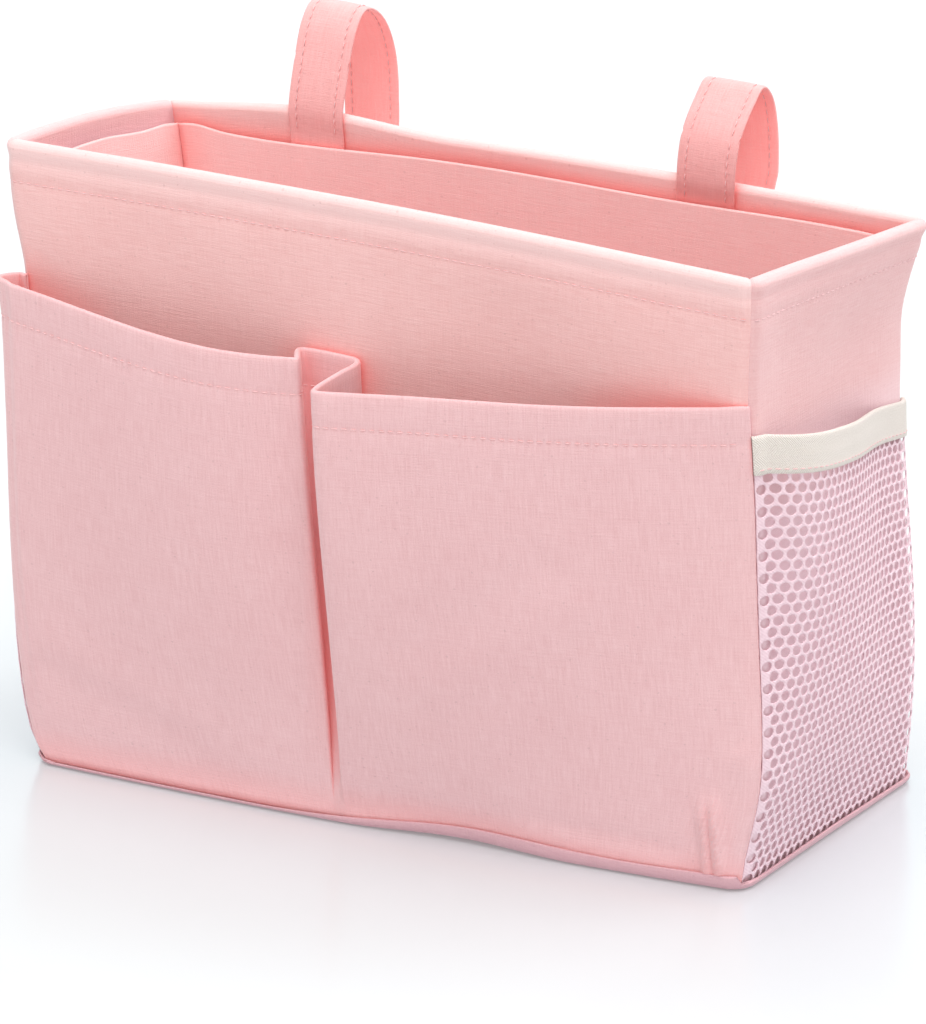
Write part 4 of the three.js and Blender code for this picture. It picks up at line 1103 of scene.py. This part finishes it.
def row_on(name, inset, z, facing):
    """Row along a side at an inset and level, with the ways that point off the cloth."""
    s = side_run(name, 0.6)
    z = np.full_like(s, z)
    inset = inset - ripple(name, s, z)
    path = settle(round_point(SIDES[name], s, inset, z))
    return path, unit(settle(round_point(SIDES[name], s, inset - facing, z)) - path)


def sew():
    stitches("rim_hem_stitches", [row_on(name, inset, HEM_STITCH, facing) for inset, facing in (
        (STITCH_SINK, 1), (FACING_INSET + CANVAS - STITCH_SINK, -1)) for name in SIDES], "bag")
    stitches("lining_hem_stitches", seam_rows["lining_hem"], "bag")
    stitches("tape_stitches", seam_rows["tape"], "bag")
    columns, _ = pocket_columns(0.6)
    path, off = (settle(pocket_surface(columns, POCKET_STITCH_SHARE, inward - CANVAS / 2))[4:-4]
                 for inward in (STITCH_SINK, STITCH_SINK - 1))
    stitches("pocket_hem_stitches", [(path, unit(off - path))], "bag")


# Stage, camera and light
def make_camera():
    """Camera at its azimuth and elevation. It aims at a level on the bag's axis, moved right and up."""
    turn = Euler((math.radians(90 - CAMERA_ELEVATION), 0, math.radians(CAMERA_AZIMUTH))).to_matrix()
    right, up, back = turn.col
    data = bpy.data.cameras.new("camera")
    data.lens, data.sensor_width = CAMERA_LENS, 36
    data.clip_start, data.clip_end = 0.1, 100
    camera = put("camera", data)
    camera.matrix_world = turn.to_4x4()
    aim_right, aim_up, level = CAMERA_AIM
    camera.location = (Vector((0, 0, level)) + right * aim_right + up * aim_up + back * CAMERA_DISTANCE) * MM
    bpy.context.scene.camera = camera


def make_floor():
    """Pale floor that mirrors a little near the bag's foot."""
    mesh = bpy.data.meshes.new("floor")
    reach, drop = 30.0, 0.0004
    mesh.from_pydata([(x * reach, y * reach, 0) for x, y in ((-1, -1), (1, -1), (1, 1), (-1, 1))],
                     [], [(0, 1, 2, 3)])
    floor = put("floor", mesh)
    floor.location.z = -drop
    pale = Surface("pale_floor")
    pale.fill(pale.shader, {"Base Color": (0.43, 0.45, 0.455, 1), "Roughness": 1.0, "Specular IOR Level": 0.0,
                            "Emission Color": (1, 1, 1, 1), "Emission Strength": 0.31})
    gloss = pale.add("BsdfPrincipled", {"Base Color": (0.79, 0.92, 1, 1), "Metallic": 1.0, "Roughness": 0.2})
    place = pale.add("SeparateXYZ", {0: pale.add("TexCoord").outputs["Object"]}).outputs
    beyond = [pale.math("MAXIMUM", pale.math("SUBTRACT", pale.math("ABSOLUTE", place[k]), half), 0.0)
              for k, half in ((0, 0.145), (1, 0.06))]
    far = pale.math("SQRT", pale.total(*(pale.math("MULTIPLY", b, b) for b in beyond)))
    blend = pale.add("MixShader", {0: pale.fit(far, 0.0, 0.17, 0.36, 0.0), 1: pale.shader.outputs[0],
                                   2: gloss.outputs[0]})
    pale.fill(pale.output, {"Surface": blend.outputs[0]})
    mesh.materials.append(pale.owner)


def make_light():
    world = Nodes(bpy.data.worlds.new("studio"))
    bpy.context.scene.world = world.owner
    rays = world.add("LightPath").outputs
    seen = world.math("MAXIMUM", rays["Is Camera Ray"], rays["Is Glossy Ray"])
    seen = world.math("MAXIMUM", seen, rays["Is Transmission Ray"])
    background = world.add("Background", {"Color": (1, 1, 1, 1), "Strength": world.fit(seen, 0.0, 1.0, 0.64, 1.0)})
    world.add("OutputWorld", {"Surface": background.outputs[0]})
    suns = {"key": (1.15, (34, 0, 30), 46, (1, 1, 1)), "top": (1.75, (6, 0, 20), 40, (1, 1, 1)),
            "rim": (1.1, (-52, 0, -35), 40, (0.93, 0.95, 1))}
    for name, (strength, turn, spread_angle, colour) in suns.items():
        data = bpy.data.lights.new(name, "SUN")
        data.energy = strength
        data.color = colour
        data.angle = math.radians(spread_angle)
        put(name, data).rotation_euler = [math.radians(a) for a in turn]


make_camera()
make_floor()
make_light()
bpy.context.scene.view_settings.view_transform = "Standard"

for side_name in SIDES:
    wall(side_name)
    stiffening(side_name)
    lining_wall(side_name)
lining_floor()
bottom_cloth()
pocket_cloth()
for net_side in ("left", "right"):
    knitted_net(net_side)
    net_tape(net_side)
for strap_side in STRAPS:
    strap(strap_side)
    patch(strap_side, "loop")
    patch(strap_side, "hook")
sew()

for node_name, finish, slot_name in (("rim_wire", WIRE, "wire"), ("base_board", SHEETING, "board")):
    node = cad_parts[node_name]
    node.data.materials.clear()
    node.data.materials.append(finish)
